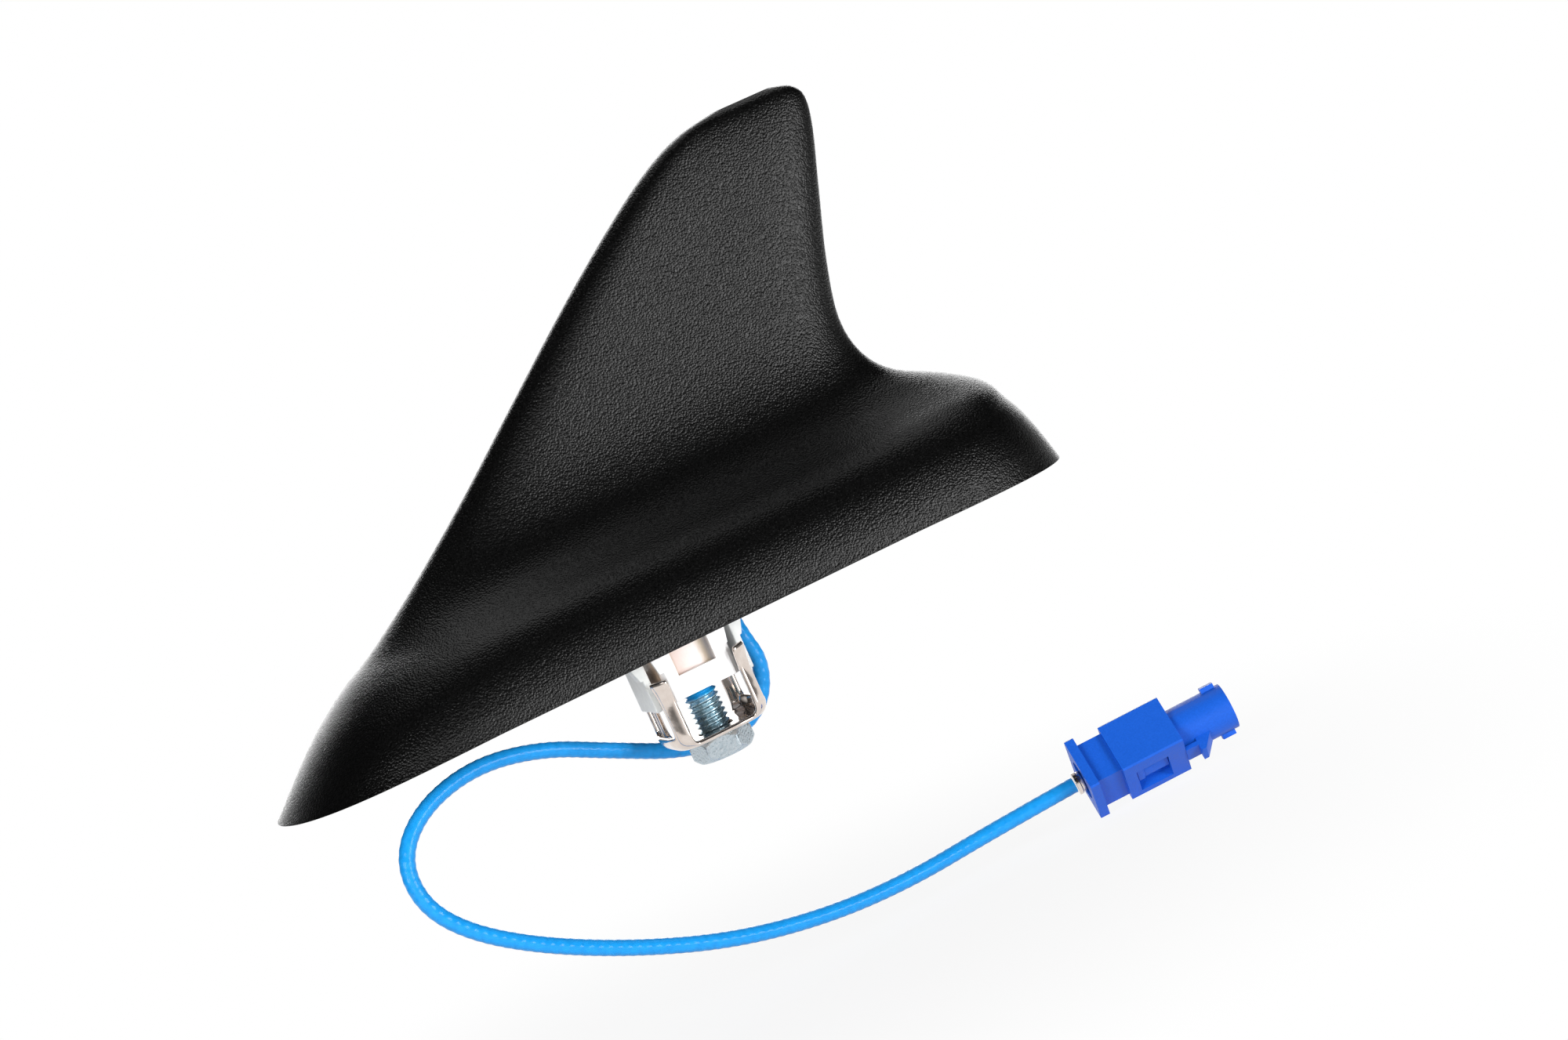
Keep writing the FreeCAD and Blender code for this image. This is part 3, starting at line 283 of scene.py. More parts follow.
def casting_finish():
    """Bright die-cast metal, with painted shade and a painted warm reflection down in the recess of the
    post.
    """
    finish = grained_finish(
        "casting_white", (0.85, 0.84, 0.84), (0.91, 0.90, 0.90),
        rough=(0.3, 0.42), size=1800, depth=0.01 * MM, metal=0.1,
    )
    tree = finish.node_tree
    shader = tree.nodes["Principled BSDF"]
    place = add_node(tree, "ShaderNodeTexCoord")
    split = add_node(tree, "ShaderNodeSeparateXYZ")
    deep = add_node(tree, "ShaderNodeMath", operation="ABSOLUTE")
    recess = add_node(tree, "ShaderNodeMapRange", interpolation_type="SMOOTHSTEP")
    recess.inputs["From Min"].default_value = RECESS_EDGE
    recess.inputs["From Max"].default_value = RECESS_FLOOR
    across = add_node(tree, "ShaderNodeMapRange")
    across.inputs["From Min"].default_value = -RECESS_HALF_WIDTH
    across.inputs["From Max"].default_value = RECESS_HALF_WIDTH
    # This ramp paints shade and a warm reflection across the walls of the recess.
    painted_wall_shade = add_node(tree, "ShaderNodeValToRGB")
    painted_wall_shade.color_ramp.elements[0].color = RECESS_LEFT_PAINTED_SHADE
    painted_wall_shade.color_ramp.elements[1].color = RECESS_RIGHT_PAINTED_SHADE
    for at, tone in RECESS_PAINTED_SHADE_BETWEEN:
        painted_wall_shade.color_ramp.elements.new(at).color = tone
    # This mix lays the painted shade and reflection over the cast colour down in the recess.
    recess_painted_shade = add_node(tree, "ShaderNodeMix", data_type="RGBA")
    link = tree.links.new
    cast = shader.inputs["Base Color"].links[0].from_socket
    link(place.outputs["Object"], split.inputs["Vector"])
    link(split.outputs["X"], across.inputs["Value"])
    link(across.outputs["Result"], painted_wall_shade.inputs["Fac"])
    link(painted_wall_shade.outputs["Color"], recess_painted_shade.inputs["B"])
    link(split.outputs["Y"], deep.inputs[0])
    link(deep.outputs[0], recess.inputs["Value"])
    link(recess.outputs["Result"], recess_painted_shade.inputs["Factor"])
    link(cast, recess_painted_shade.inputs["A"])
    link(recess_painted_shade.outputs["Result"], shader.inputs["Base Color"])
    return finish


casting_white = casting_finish()
print("casting:", casting_white.name)

# %% Nickel and nylon
claw_nickel = grained_finish(
    "claw_nickel", (0.70, 0.61, 0.55), (0.80, 0.72, 0.66),
    rough=(0.07, 0.15), size=500, depth=0.010 * MM, metal=1.0,
)
guide_nylon = grained_finish(
    "guide_nylon", (0.70, 0.72, 0.71), (0.80, 0.82, 0.80),
    rough=(0.3, 0.4), size=700, depth=0.01 * MM,
)
NYLON_SCATTER = 0.6
NYLON_DEPTH = 2.0 * MM
milk = guide_nylon.node_tree.nodes["Principled BSDF"]
milk.inputs["Subsurface Weight"].default_value = NYLON_SCATTER
milk.inputs["Subsurface Radius"].default_value = (NYLON_DEPTH, NYLON_DEPTH, NYLON_DEPTH)
milk.inputs["Subsurface Scale"].default_value = 1.0
print("nickel and nylon:", claw_nickel.name, guide_nylon.name)

# %% [markdown]
# The bolt is zinc-plated. Its thread has a bluish passivation and carries a patch of blue locking
# compound near the post. Both follow the height along the bolt, and a noise makes the patch's edge
# uneven, as a smear is.

# %% Zinc
SHANK_FOOT, SHANK_START = -18.4 * MM, -17.6 * MM
SHANK_TONE = (0.54, 0.71, 0.79, 1.0)
PATCH_FOOT, PATCH_START = -11.2 * MM, -10.3 * MM
PATCH_TONE = (0.015, 0.37, 0.74, 1.0)
PATCH_METAL = 0.15
SMEAR_SIZE, SMEAR_REACH = 600.0, 1.6 * MM


def zinc_finish():
    """Bluish zinc with a band of blue locking compound on the thread."""
    finish = grained_finish(
        "bolt_zinc", (0.45, 0.53, 0.58), (0.62, 0.68, 0.72),
        rough=(0.2, 0.42), size=2200, depth=0.030 * MM, metal=1.0,
    )
    tree = finish.node_tree
    shader = tree.nodes["Principled BSDF"]
    place = add_node(tree, "ShaderNodeTexCoord")
    split = add_node(tree, "ShaderNodeSeparateXYZ")
    smear = add_node(tree, "ShaderNodeTexNoise")
    smear.inputs["Scale"].default_value = SMEAR_SIZE
    edge = add_node(tree, "ShaderNodeMath", operation="MULTIPLY_ADD")
    edge.inputs[1].default_value = SMEAR_REACH
    band = add_node(tree, "ShaderNodeMapRange", interpolation_type="SMOOTHSTEP")
    band.inputs["From Min"].default_value = PATCH_FOOT
    band.inputs["From Max"].default_value = PATCH_START
    shank = add_node(tree, "ShaderNodeMapRange")
    shank.inputs["From Min"].default_value = SHANK_FOOT
    shank.inputs["From Max"].default_value = SHANK_START
    blued = add_node(tree, "ShaderNodeMix", data_type="RGBA")
    blued.inputs["B"].default_value = SHANK_TONE
    patch = add_node(tree, "ShaderNodeMix", data_type="RGBA")
    patch.inputs["B"].default_value = PATCH_TONE
    metal = add_node(tree, "ShaderNodeMapRange")
    metal.inputs["To Min"].default_value = 1.0
    metal.inputs["To Max"].default_value = PATCH_METAL
    link = tree.links.new
    zinc = shader.inputs["Base Color"].links[0].from_socket
    link(place.outputs["Object"], split.inputs["Vector"])
    link(place.outputs["Object"], smear.inputs["Vector"])
    link(smear.outputs["Fac"], edge.inputs[0])
    link(split.outputs["Z"], edge.inputs[2])
    link(edge.outputs[0], band.inputs["Value"])
    link(band.outputs["Result"], patch.inputs["Factor"])
    link(band.outputs["Result"], metal.inputs["Value"])
    link(split.outputs["Z"], shank.inputs["Value"])
    link(shank.outputs["Result"], blued.inputs["Factor"])
    link(zinc, blued.inputs["A"])
    link(blued.outputs["Result"], patch.inputs["A"])
    link(patch.outputs["Result"], shader.inputs["Base Color"])
    link(metal.outputs["Result"], shader.inputs["Metallic"])
    return finish


bolt_zinc = zinc_finish()
print("zinc:", bolt_zinc.name)

# %% [markdown]
# ## From a bmesh to a piece
# Every new piece ends the same way: its bmesh becomes a mesh, sharp edges are marked by angle, a
# small bevel catches the light, and the piece rides on the body that carries it. A copy of a CAD
# solid starts as loose triangles, so its doubles are merged and its flat faces joined up first.

# %% Piece helpers
WELD_DISTANCE = 1e-6
FLAT_ANGLE = math.radians(0.3)


def make_piece(shape, name, finish, body, stands_for, sharp=35.0, bevel=0.0):
    """The bmesh as a finished piece on a body, in place of its CAD solid."""
    mesh = bpy.data.meshes.new(name)
    shape.to_mesh(mesh)
    shape.free()
    mesh.materials.append(finish)
    mesh.shade_smooth()
    mesh.set_sharp_from_angle(angle=math.radians(sharp))
    piece = bpy.data.objects.new(name, mesh)
    scene.collection.objects.link(piece)
    if bevel:
        edge = piece.modifiers.new("edge", "BEVEL")
        edge.width = bevel
        edge.segments = 2
        edge.limit_method = "ANGLE"
        edge.angle_limit = math.radians(sharp)
        edge.harden_normals = True
    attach(piece, body)
    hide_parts(stands_for)
    print(f"{name}: {len(mesh.polygons)} faces")
    return piece


def solid_copy(node):
    """A CAD solid as one welded bmesh with its flat faces whole."""
    shape = bmesh.new()
    shape.from_mesh(solids[node].data)
    bmesh.ops.remove_doubles(shape, verts=shape.verts, dist=WELD_DISTANCE)
    bmesh.ops.dissolve_limit(shape, angle_limit=FLAT_ANGLE, verts=shape.verts, edges=shape.edges)
    return shape


def dressed_copy(node, name, finish, bevel):
    """A CAD solid of the antenna as a piece with bevelled edges."""
    piece = make_piece(solid_copy(node), name, finish, "antenna", node, bevel=bevel)
    return piece


# %% [markdown]
# ## The fin
# The fin is a loft: level outlines that swell at the rim, sweep up through a hollow and end in a thin
# blade. Each line below gives a level's height, its reach to the nose and to the tail, its width, and
# how round its nose and its tail are, as shares of the whole height and of the rim's own sizes. Rows
# between these levels come from a Catmull-Rom curve through them, so that the skin has no kinks.

# %% Levels of the fin
FIN_LINES = [
    (0.000, 1.000, 1.000, 1.000, 1.000, 1.000),
    (0.061, 0.932, 0.985, 0.984, 0.990, 0.960),
    (0.125, 0.855, 0.965, 0.934, 0.870, 0.860),
    (0.175, 0.784, 0.942, 0.847, 0.660, 0.700),
    (0.207, 0.731, 0.929, 0.735, 0.460, 0.540),
    (0.238, 0.668, 0.898, 0.580, 0.295, 0.350),
    (0.276, 0.602, 0.834, 0.430, 0.190, 0.200),
    (0.327, 0.519, 0.736, 0.315, 0.136, 0.115),
    (0.390, 0.423, 0.686, 0.248, 0.108, 0.080),
    (0.478, 0.294, 0.672, 0.204, 0.094, 0.067),
    (0.604, 0.120, 0.702, 0.175, 0.085, 0.062),
    (0.755, -0.092, 0.756, 0.156, 0.083, 0.062),
    (0.881, -0.285, 0.802, 0.142, 0.083, 0.062),
    (0.951, -0.411, 0.815, 0.124, 0.083, 0.062),
    (0.985, -0.502, 0.793, 0.095, 0.070, 0.055),
    (1.000, -0.595, 0.745, 0.044, 0.028, 0.022),
]
STEPS_BETWEEN = 6


def between(before, low, high, after, part):
    """A row on the Catmull-Rom curve between two rows."""
    row = []
    for a, b, c, d in zip(before, low, high, after):
        bend = (2 * a - 5 * b + 4 * c - d) * part**2 + (3 * b - a - 3 * c + d) * part**3
        row.append(b + 0.5 * ((c - a) * part + bend))
    return row


fin_rows = []
for number, (low, high) in enumerate(zip(FIN_LINES, FIN_LINES[1:])):
    before = FIN_LINES[max(number - 1, 0)]
    after = FIN_LINES[min(number + 2, len(FIN_LINES) - 1)]
    fin_rows += [between(before, low, high, after, step / STEPS_BETWEEN) for step in range(STEPS_BETWEEN)]
fin_rows.append(list(FIN_LINES[-1]))
print("fin:", len(fin_rows), "levels")

# %% [markdown]
# Each level is a superellipse: the higher its power, the fuller its ends. The power is worked out from
# the round that the nose or the tail should have. Points crowd together where a superellipse bends, so
# a fine outline is made first and then walked in even steps.

# %% Outline of a level
NOSE_REACH, TAIL_REACH = 75.0, 75.2
RIM_WIDTH = 55.0
NOSE_ROUND, TAIL_ROUND, LEAST_ROUND = 36.0, 45.0, 0.8
RING_POINTS = 240
FINE_STEPS = 720


def level_outline(row, inset):
    """Points evenly spaced round one level, in millimetres, from the tail along one side and back."""
    nose_share, tail_share, width_share, nose_bend, tail_bend = row[1:]
    nose = -NOSE_REACH * nose_share
    tail = TAIL_REACH * tail_share
    middle = (nose + tail) / 2
    reach = (tail - nose) / 2 - inset
    half = RIM_WIDTH / 2 * width_share - inset
    fine = []
    for number in range(FINE_STEPS + 1):
        turn = math.pi * number / FINE_STEPS
        end_round = TAIL_ROUND * tail_bend if number <= FINE_STEPS // 2 else NOSE_ROUND * nose_bend
        power = max(2 * max(end_round - inset, LEAST_ROUND) * reach / half**2, 2.0)
        along = math.copysign(abs(math.cos(turn)) ** (2 / power), math.cos(turn))
        fine.append(Vector((middle + reach * along, half * math.sin(turn))))
    walk = [0.0]
    for one, other in zip(fine, fine[1:]):
        walk.append(walk[-1] + (other - one).length)
    side = []
    at = 1
    for step in range(RING_POINTS // 2 + 1):
        goal = walk[-1] * step / (RING_POINTS // 2)
        while at < len(walk) - 1 and walk[at] < goal:
            at += 1
        share = (goal - walk[at - 1]) / (walk[at] - walk[at - 1])
        side.append(fine[at - 1].lerp(fine[at], share))
    return side + [Vector((p.x, -p.y)) for p in side[-2:0:-1]]


rim_corners = level_outline(FIN_LINES[0], 0.0)[::RING_POINTS // 4]
print("rim of the fin:", [tuple(round(n, 1) for n in p) for p in rim_corners])

# %% [markdown]
# A ring starts as a circle, whose points are moved onto the level's outline, and bridging one ring to
# the next makes the skin. The same levels, set in by the wall, make the inside. The rim follows the
# crown of the roof, so rows that the crown would cut are left out.

# %% Skin of the fin
FIN_HEIGHT, RIM_LEVEL = 79.4, 0.1
ROOF_CROWN, RIM_MIDDLE = 2800.0, 1.2
COVER_WALL = 2.2
LOWEST_OUTSIDE, LOWEST_INSIDE, INSIDE_TOP = 0.02, 0.04, 0.86


def crown_height(x):
    """The rim follows the crown of the roof: highest over the bolt, lower at nose and tail."""
    return RIM_MIDDLE - x * x / (2 * ROOF_CROWN)


def add_ring(shape, row, inset, drop):
    """One level as a ring of points: a circle moved onto the level's outline."""
    made = bmesh.ops.create_circle(shape, cap_ends=False, segments=RING_POINTS, radius=1.0)["verts"]
    level = RIM_LEVEL + row[0] * (FIN_HEIGHT - RIM_LEVEL) - drop
    for vert, place in zip(made, level_outline(row, inset)):
        height = max(level, crown_height(place.x))
        vert.co = (place.x * MM, place.y * MM, height * MM)
    return list({edge for vert in made for edge in vert.link_edges})


outside_rows = [row for row in fin_rows if row[0] == 0.0 or row[0] > LOWEST_OUTSIDE]
inside_rows = [row for row in fin_rows if row[0] == 0.0 or LOWEST_INSIDE < row[0] <= INSIDE_TOP]
fin = bmesh.new()
rings = [add_ring(fin, row, COVER_WALL, COVER_WALL / 2) for row in reversed(inside_rows)]
rings += [add_ring(fin, row, 0.0, 0.0) for row in outside_rows]
for lower, upper in zip(rings, rings[1:]):
    bmesh.ops.bridge_loops(fin, edges=lower + upper)
bmesh.ops.holes_fill(fin, edges=[edge for edge in fin.edges if edge.is_boundary])
bmesh.ops.recalc_face_normals(fin, faces=fin.faces)
cover = make_piece(fin, "fin_skin", cover_black, "antenna", "fin_cover", sharp=50.0)

# %% [markdown]
# ## The casting, the guide and the seal
# The post under the base is cast in one piece with the base plate. Its solid has the right shape
# already, so a welded copy with a small bevel is enough. The nylon guide, the gasket and the grommet
# get the same treatment.

# %% Base pieces
dressed_copy("base_plate", "post_and_plate", casting_white, 0.25 * MM)
dressed_copy("locating_collar", "nylon_guide", guide_nylon, 0.2 * MM)
dressed_copy("roof_gasket", "seal_ring", seal_black, 0.3 * MM)
dressed_copy("cable_grommet", "lead_grommet", seal_black, 0.2 * MM)

# %% [markdown]
# ## The claw and its bolt
# The claw is a cup pressed from sheet and cut back to four prongs. A mirror-like sheet shows every
# uneven facet, so it starts as a coarse cage: a quarter of the cup in rows and columns. Each row below
# has its level and its first and last column, and a row that stops short leaves room for an opening.
# Two mirrors make the cup, Solidify makes it a sheet, and Subdivision Surface rounds its bends, its
# openings and its edges at once.

# %% Claw cage
CLAW_SIDE, CLAW_CORNER, CLAW_SHEET = 18.6, 5.0, 1.0
CLAW_FLOOR, CLAW_KNEE, CLAW_FOOT = -18.4, 2.6, 2.2
CLAW_WAIST, CLAW_TIP, CLAW_FLARE = -9.5, -5.0, 0.6
CLAW_MOUTH, CLAW_HOLE = 6.5, 3.2
WIDEST_EDGE_TURN = math.radians(26)
FRONT_END, CORNER_START, CORNER_END, SIDE_START, LAST_COLUMN = 2, 3, 6, 7, 9
CLAW_ROWS = [
    (-18.4, 0, 9), (-18.14, 0, 9), (-17.4, 3, 9), (-16.4, 3, 9), (-15.3, 3, 9),
    (-13.9, 3, 6), (-11.9, 3, 6), (-9.5, 3, 6), (-7.2, 3, 6), (-5.0, 3, 6),
]


def claw_point(level, column):
    """A point outside the cup: column 0 is the middle of the front, the last the middle of a side."""
    bend = max(0.0, 1 - (level - CLAW_FLOOR) / CLAW_KNEE)
    drawn_in = CLAW_FOOT * (1 - math.sqrt(1 - bend * bend))
    flare = CLAW_FLARE * max(0.0, (level - CLAW_WAIST) / (CLAW_TIP - CLAW_WAIST)) ** 2
    half = CLAW_SIDE / 2 - drawn_in + flare
    corner = CLAW_CORNER - drawn_in / 2
    straight = half - corner
    if column <= FRONT_END:
        return Vector((straight * column / FRONT_END, half, level)) * MM
    if column >= SIDE_START:
        part = (LAST_COLUMN - column) / (LAST_COLUMN - SIDE_START)
        return Vector((half, straight * part, level)) * MM
    edge = min(math.asin((CLAW_MOUTH - straight) / corner), WIDEST_EDGE_TURN)
    turn = edge + (math.pi / 2 - 2 * edge) * (column - CORNER_START) / (CORNER_END - CORNER_START)
    return Vector((straight + corner * math.sin(turn), straight + corner * math.cos(turn), level)) * MM


sheet = bmesh.new()
rows = []
for share in (0.0, 0.5):
    ring = {}
    for column in range(LAST_COLUMN + 1):
        rim = claw_point(CLAW_FLOOR, column)
        hole = Vector((rim.x, rim.y, 0)).normalized() * CLAW_HOLE * MM
        ring[column] = sheet.verts.new(Vector((hole.x, hole.y, rim.z)).lerp(rim, share))
    rows.append(ring)
for level, first, last in CLAW_ROWS:
    rows.append({column: sheet.verts.new(claw_point(level, column)) for column in range(first, last + 1)})
for lower, upper in zip(rows, rows[1:]):
    for column in upper:
        if column + 1 in upper:
            sheet.faces.new((lower[column], upper[column], upper[column + 1], lower[column + 1]))
print("claw cage:", len(sheet.faces), "faces in a quarter")

# %% Claw
for axis in "XY":
    quarter = sheet.verts[:] + sheet.edges[:] + sheet.faces[:]
    bmesh.ops.mirror(sheet, geom=quarter, axis=axis, merge_dist=WELD_DISTANCE)
bmesh.ops.recalc_face_normals(sheet, faces=sheet.faces)
claw = make_piece(sheet, "spring_claw", claw_nickel, "claw", "clamp_claw", sharp=180.0)
thick = claw.modifiers.new("thickness", "SOLIDIFY")
thick.thickness = CLAW_SHEET * MM
thick.use_even_offset = True
press = claw.modifiers.new("press", "SUBSURF")
press.levels = 2
press.render_levels = 2

# %% [markdown]
# The bolt's head is a hexagon with a cone turned on both its rims, which gives each flat its curved
# ends. It is a stack of rings, each drawn in to the flats or to the cone, whichever is nearer.

# %% Head of the bolt
UNDER_HEAD = -18.4
HEAD_FLATS, HEAD_HEIGHT, HEAD_TURN = 10.0, 4.0, math.radians(-13.0)
CONE_START, CONE_SLOPE = 0.96, 0.95
HEAD_POINTS = 144
HEAD_LEVELS = [0.0, 0.12, 0.24, 0.36, 0.5, 0.64, 0.8, 1.0]


def head_reach(angle, depth):
    """How far the head reaches at an angle: to its flats, or to the cone turned on its rim."""
    inside = (angle - HEAD_TURN) % (math.pi / 3) - math.pi / 6
    flat = HEAD_FLATS / 2 / math.cos(inside)
    return min(flat, HEAD_FLATS / 2 * CONE_START + depth * CONE_SLOPE)


bolt_shape = bmesh.new()
head_rings = []
for depth in HEAD_LEVELS + [HEAD_HEIGHT - depth for depth in reversed(HEAD_LEVELS)]:
    ring = bmesh.ops.create_circle(bolt_shape, cap_ends=False, segments=HEAD_POINTS, radius=1.0)["verts"]
    height = UNDER_HEAD - HEAD_HEIGHT + depth
    for number, vert in enumerate(ring):
        angle = 2 * math.pi * number / HEAD_POINTS
        reach = head_reach(angle, min(depth, HEAD_HEIGHT - depth))
        vert.co = (reach * math.cos(angle) * MM, reach * math.sin(angle) * MM, height * MM)
    head_rings.append(list({edge for vert in ring for edge in vert.link_edges}))
for lower, upper in zip(head_rings, head_rings[1:]):
    bmesh.ops.bridge_loops(bolt_shape, edges=lower + upper)
bmesh.ops.holes_fill(bolt_shape, edges=[edge for edge in bolt_shape.edges if edge.is_boundary])
bmesh.ops.recalc_face_normals(bolt_shape, faces=bolt_shape.faces)
print("head of the bolt:", len(bolt_shape.faces), "faces")

# %% [markdown]
# The thread is one turn's profile spun about the axis while it climbs, which is what a spin with an
# offset does. A plain core inside it closes the ends.

# %% Thread of the bolt
THREAD_PITCH, BOLT_LENGTH = 1.0, 20.0
THREAD_CREST, THREAD_ROOT = 2.98, 2.42
CORE_RADIUS = 0.99 * THREAD_ROOT * MM
STEPS_PER_TURN = 36
THREAD_PROFILE = [
    (THREAD_ROOT, 0.0), (THREAD_CREST, 0.40), (THREAD_CREST, 0.53), (THREAD_ROOT, 0.93), (THREAD_ROOT, 1.0),
]

thread = bmesh.new()
profile = [thread.verts.new((r * MM, 0, (UNDER_HEAD + z) * MM)) for r, z in THREAD_PROFILE]
chain = [thread.edges.new(pair) for pair in zip(profile, profile[1:])]
turns = int(BOLT_LENGTH / THREAD_PITCH) - 1
bmesh.ops.spin(
    thread, geom=profile + chain, cent=(0, 0, 0), axis=(0, 0, 1), angle=2 * math.pi * turns,
    steps=STEPS_PER_TURN * turns, dvec=(0, 0, THREAD_PITCH / STEPS_PER_TURN * MM),
)
bmesh.ops.remove_doubles(thread, verts=thread.verts, dist=WELD_DISTANCE)
bmesh.ops.recalc_face_normals(thread, faces=thread.faces)
core = bmesh.ops.create_cone(
    thread, cap_ends=True, segments=STEPS_PER_TURN, radius1=CORE_RADIUS, radius2=CORE_RADIUS,
    depth=BOLT_LENGTH * MM,
)["verts"]
bmesh.ops.translate(thread, verts=core, vec=(0, 0, (UNDER_HEAD + BOLT_LENGTH / 2) * MM))
thread_mesh = bpy.data.meshes.new("thread")
thread.to_mesh(thread_mesh)
thread.free()
bolt_shape.from_mesh(thread_mesh)
bolt = make_piece(bolt_shape, "clamp_screw", bolt_zinc, "bolt", "clamp_bolt", sharp=30.0)

# %% [markdown]
# ## The lead's jacket
# Under the thin jacket lies a braid, which shows as an even ripple and breaks the highlight into
# dashes. The tube that Blender makes from the curve has its rings in order, so each point can be moved
# out or in by a wave that winds round the lead as it goes along. The finish is glossy azure plastic.

# %% Jacket
BRAID_PITCH = 1.7 * MM
BRAID_RIPPLE = 0.020

lead_azure = grained_finish(
    "lead_azure", (0.008, 0.255, 0.66), (0.013, 0.300, 0.75),
    rough=(0.16, 0.24), size=900, depth=0.006 * MM, specular=0.3,
)
tube = lead_mesh(LEAD_DIAMETER)
per_ring = len(tube.vertices) // len(lead_points)
for number, vert in enumerate(tube.vertices):
    ring, place = divmod(number, per_ring)
    wave = math.sin(2 * math.pi * (lead_walk[ring] / BRAID_PITCH + place / per_ring))
    vert.co = lead_points[ring] + (vert.co - lead_points[ring]) * (1 + BRAID_RIPPLE * wave)
lead_shape = bmesh.new()
lead_shape.from_mesh(tube)
bmesh.ops.holes_fill(lead_shape, edges=[edge for edge in lead_shape.edges if edge.is_boundary])
lead = make_piece(lead_shape, "blue_lead", lead_azure, "antenna", "coax_cable", sharp=60.0)
print("jacket:", per_ring, "points a ring")

# %% [markdown]
# ## The plug
# The plug is a blue moulding with a square body, a round keyed nose and a plated ferrule at its rear.
# Its solids carry those shapes; small bevels keep their edges from looking cut with a knife.

plug_pieces = [
    dressed_copy("plug_housing", "plug_shell", plug_blue, 0.14 * MM),
    dressed_copy("lock_slide", "plug_lock", plug_blue, 0.1 * MM),
    dressed_copy("crimp_ferrule", "plug_ferrule", claw_nickel, 0.1 * MM),
    dressed_copy("outer_contact", "plug_sleeve", contact_gold, 0.06 * MM),
    dressed_copy("contact_insulator", "plug_spacer", insulator_white, 0.06 * MM),
    dressed_copy("centre_contact", "plug_pin", contact_gold, 0.04 * MM),
]

# %% [markdown]
# ## Pieces under the cover
# The board, the ceramic patch and their small parts are hidden, but they are real pieces, so each
# keeps its CAD solid and gets a finish of its own kind.

# %% Hidden pieces
HIDDEN_FINISHES = {
    "cover_screws": steel_grey, "board_screws": steel_grey, "circuit_board": board_green,
    "patch_antenna": patch_ceramic, "feed_pin": contact_gold, "shield_can": tin_grey,
    "lead_saddle": tin_grey, "inner_lead": lead_azure,
}
for node, finish in HIDDEN_FINISHES.items():
    solids[node].material_slots[0].material = finish
print("hidden pieces:", ", ".join(HIDDEN_FINISHES))

# %% [markdown]
# ## Floor, room and light
# The picture has a white ground with hardly a shadow. The floor lies just under the lead and the plug.
# It is white paper: matte in the lamps' light, but mixed with a plain white glow for the rays that the
# camera or a mirror sees it by, so that only a faint shadow is left.

# %% Floor
FLOOR_LEVEL = -64.3 * MM
FLOOR_REACH = 0.45
FLOOR_BACK = 0.25

ground = bmesh.new()
bmesh.ops.create_circle(ground, cap_ends=True, segments=96, radius=FLOOR_REACH)
bmesh.ops.translate(ground, verts=ground.verts, vec=(0, FLOOR_BACK, FLOOR_LEVEL))
floor_mesh = bpy.data.meshes.new("floor")
ground.to_mesh(floor_mesh)
ground.free()
floor = bpy.data.objects.new("floor", floor_mesh)
scene.collection.objects.link(floor)
print("floor at", round(FLOOR_LEVEL / MM, 1), "mm")

# %% Floor finish
PAPER_TONE = (0.82, 0.82, 0.84, 1.0)
SHADOW_NEAR, SHADOW_FAR = 0.06, 0.17
GLOW_NEAR = 0.88


def paper_finish():
    """White paper: matte in the lamps' light, and nearly pure white to the camera further out."""
    finish = bpy.data.materials.new("paper_white")
    finish.use_nodes = True
    tree = finish.node_tree
    tree.nodes.remove(tree.nodes["Principled BSDF"])
    matte = add_node(tree, "ShaderNodeBsdfDiffuse")
    matte.inputs["Color"].default_value = PAPER_TONE
    glow = add_node(tree, "ShaderNodeEmission")
    place = add_node(tree, "ShaderNodeTexCoord")
    away = add_node(tree, "ShaderNodeVectorMath", operation="LENGTH")
    fade = add_node(tree, "ShaderNodeMapRange", interpolation_type="SMOOTHSTEP")
    fade.inputs["From Min"].default_value = SHADOW_NEAR
    fade.inputs["From Max"].default_value = SHADOW_FAR
    fade.inputs["To Min"].default_value = GLOW_NEAR
    fade.inputs["To Max"].default_value = 1.0
    seen = add_node(tree, "ShaderNodeLightPath")
    mirrored = add_node(tree, "ShaderNodeMath", operation="MAXIMUM")
    either = add_node(tree, "ShaderNodeMath", operation="MAXIMUM")
    share = add_node(tree, "ShaderNodeMath", operation="MULTIPLY")
    blend = add_node(tree, "ShaderNodeMixShader")
    link = tree.links.new
    link(place.outputs["Object"], away.inputs[0])
    link(away.outputs["Value"], fade.inputs["Value"])
    link(fade.outputs["Result"], share.inputs[0])
    link(seen.outputs["Is Glossy Ray"], mirrored.inputs[0])
    link(seen.outputs["Is Transmission Ray"], mirrored.inputs[1])
    link(seen.outputs["Is Camera Ray"], either.inputs[0])
    link(mirrored.outputs[0], either.inputs[1])
    link(either.outputs[0], share.inputs[1])
    link(share.outputs[0], blend.inputs["Fac"])
    link(matte.outputs[0], blend.inputs[1])
    link(glow.outputs[0], blend.inputs[2])
    link(blend.outputs[0], tree.nodes["Material Output"].inputs["Surface"])
    return finish


floor_mesh.materials.append(paper_finish())
print("floor finish:", floor_mesh.materials[0].name)

# %% [markdown]
# Black plastic shows little but what it mirrors, so the room shapes the fin. The camera sees it plain
# white. To everything else it is pale up to the horizon in front and behind, and dark overhead and at
# the sides, which leaves the fin's edges and the tops of its curves dark.

# %% Room
PALE_UP_TO, DARK_FROM = 0.47, 0.66
WHITE = (1.0, 1.0, 1.0, 1.0)
CEILING_TONE = (0.04, 0.04, 0.042, 1.0)
SIDE_REACH, FRONT_REACH = 0.45, 0.95
SIDE_LIGHT = 0.2


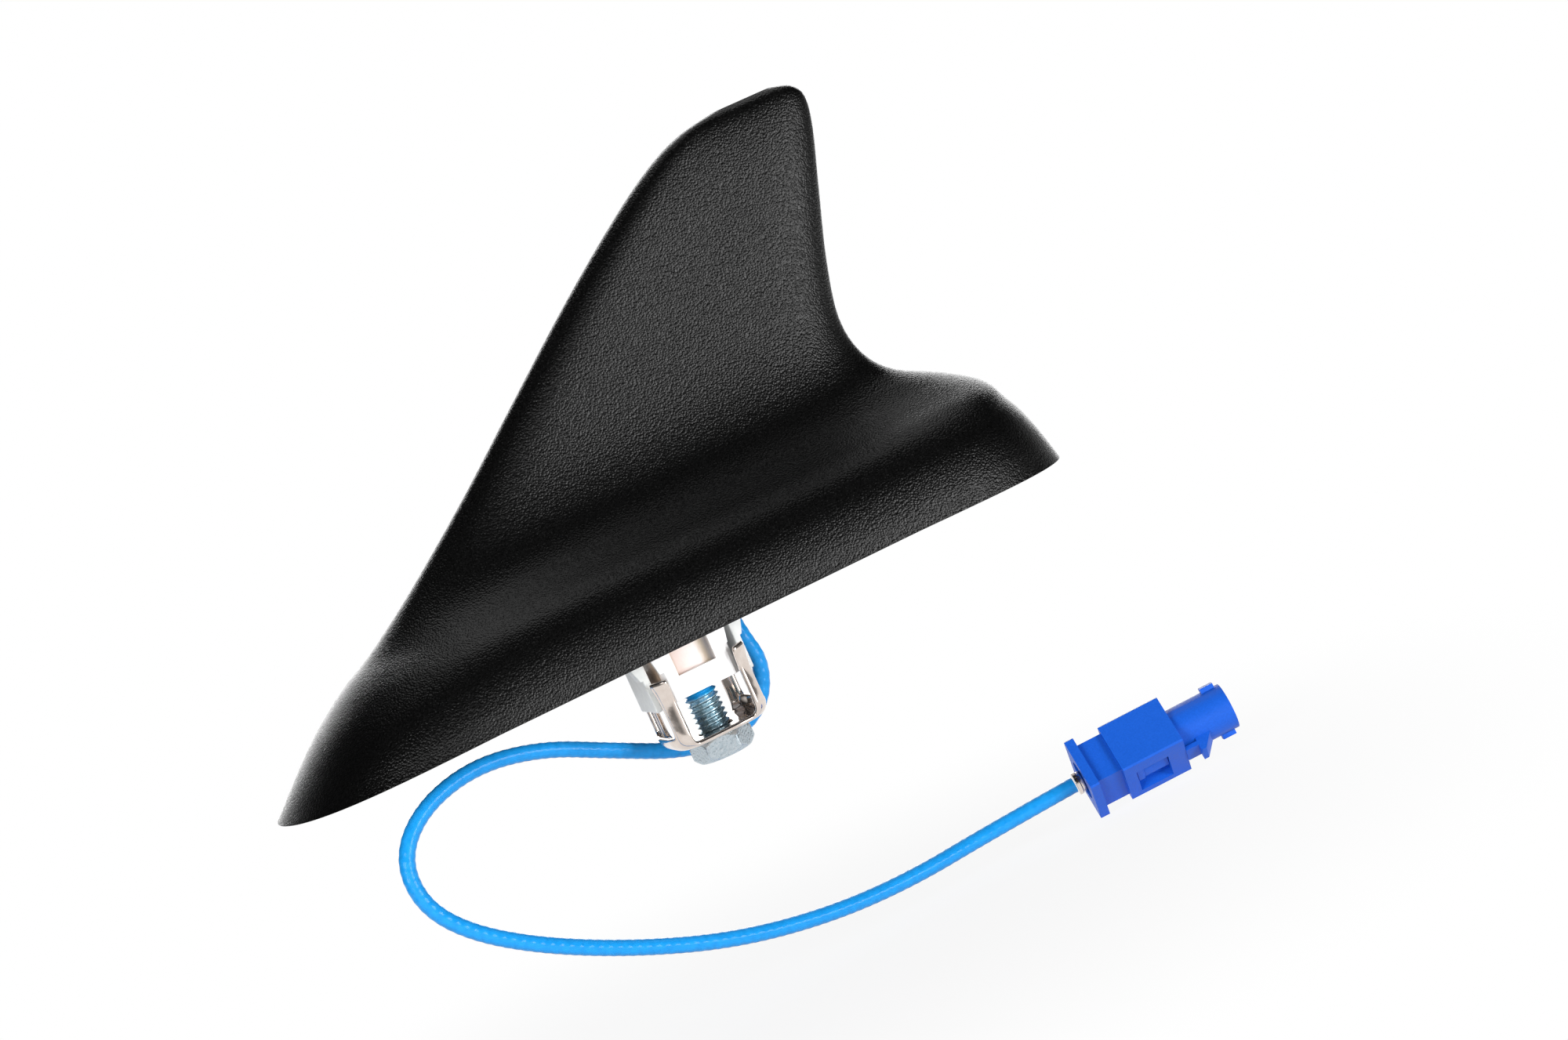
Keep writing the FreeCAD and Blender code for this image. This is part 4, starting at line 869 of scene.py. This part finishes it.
def pale_room():
    """A white ground to the camera; to everything else a pale horizon in front and behind."""
    room = bpy.data.worlds.new("room")
    room.use_nodes = True
    tree = room.node_tree
    toward = add_node(tree, "ShaderNodeTexCoord")
    split = add_node(tree, "ShaderNodeSeparateXYZ")
    lift = add_node(tree, "ShaderNodeMapRange")
    lift.inputs["From Min"].default_value = -1.0
    dim = add_node(tree, "ShaderNodeValToRGB")
    dim.color_ramp.elements[0].position = PALE_UP_TO
    dim.color_ramp.elements[0].color = WHITE
    dim.color_ramp.elements[1].position = DARK_FROM
    dim.color_ramp.elements[1].color = CEILING_TONE
    ahead = add_node(tree, "ShaderNodeMath", operation="ABSOLUTE")
    open_side = add_node(tree, "ShaderNodeMapRange")
    open_side.inputs["From Min"].default_value = SIDE_REACH
    open_side.inputs["From Max"].default_value = FRONT_REACH
    open_side.inputs["To Min"].default_value = SIDE_LIGHT
    shaded = add_node(tree, "ShaderNodeVectorMath", operation="SCALE")
    ray = add_node(tree, "ShaderNodeLightPath")
    either = add_node(tree, "ShaderNodeMath", operation="MAXIMUM")
    white = add_node(tree, "ShaderNodeMix", data_type="RGBA")
    white.inputs["B"].default_value = WHITE
    link = tree.links.new
    link(toward.outputs["Generated"], split.inputs["Vector"])
    link(split.outputs["Z"], lift.inputs["Value"])
    link(lift.outputs["Result"], dim.inputs["Fac"])
    link(split.outputs["Y"], ahead.inputs[0])
    link(ahead.outputs[0], open_side.inputs["Value"])
    link(dim.outputs["Color"], shaded.inputs[0])
    link(open_side.outputs["Result"], shaded.inputs["Scale"])
    link(shaded.outputs[0], white.inputs["A"])
    link(ray.outputs["Is Camera Ray"], either.inputs[0])
    link(ray.outputs["Is Transmission Ray"], either.inputs[1])
    link(either.outputs[0], white.inputs["Factor"])
    link(white.outputs["Result"], tree.nodes["Background"].inputs["Color"])
    return room


scene.world = pale_room()
print("room:", scene.world.name)

# %% [markdown]
# Two fill lamps light the clamp, the lead and the plug, and are kept out of reflections so that they
# leave no hot spots. The other lamps are there to be mirrored: one low in front for the blade and the
# skirt, one at the left for the nose, one overhead for the shoulder, and one behind for a thin rim.


# %% Lamps
def soft_lamp(name, place, aim, size, power, mirrored=True):
    """A soft oval lamp that faces a point; a fill lamp is not mirrored in glossy pieces."""
    lamp = bpy.data.objects.new(name, bpy.data.lights.new(name, "AREA"))
    lamp.data.shape = "ELLIPSE"
    lamp.data.size, lamp.data.size_y = size
    lamp.data.energy = power
    lamp.location = place
    lamp.rotation_mode = "QUATERNION"
    lamp.rotation_quaternion = (Vector(aim) - Vector(place)).to_track_quat("-Z", "Y")
    lamp.visible_camera = False
    lamp.visible_glossy = mirrored
    scene.collection.objects.link(lamp)
    return lamp


lamps = [
    soft_lamp("front", (0.58, -0.84, 0.06), (0.0, 0.0, 0.01), (0.4, 0.4), 7.0, mirrored=False),
    soft_lamp("left", (-0.80, -0.72, 0.20), (0.0, 0.0, 0.0), (0.6, 0.6), 9.0, mirrored=False),
    soft_lamp("glint", (0.50, -0.86, -0.05), (0.0, 0.0, 0.0), (0.55, 0.4), 2.6),
    soft_lamp("nose_glint", (-0.70, -0.63, 0.24), (0.0, 0.0, 0.0), (0.9, 0.2), 1.6),
    soft_lamp("top", (0.24, 0.36, 0.90), (0.0, 0.0, 0.0), (0.9, 0.9), 1.3),
    soft_lamp("back", (0.40, 1.35, 0.30), (0.0, 0.0, 0.02), (1.3, 1.3), 11.5),
]
print("lamps:", [(lamp.name, lamp.data.energy) for lamp in lamps])
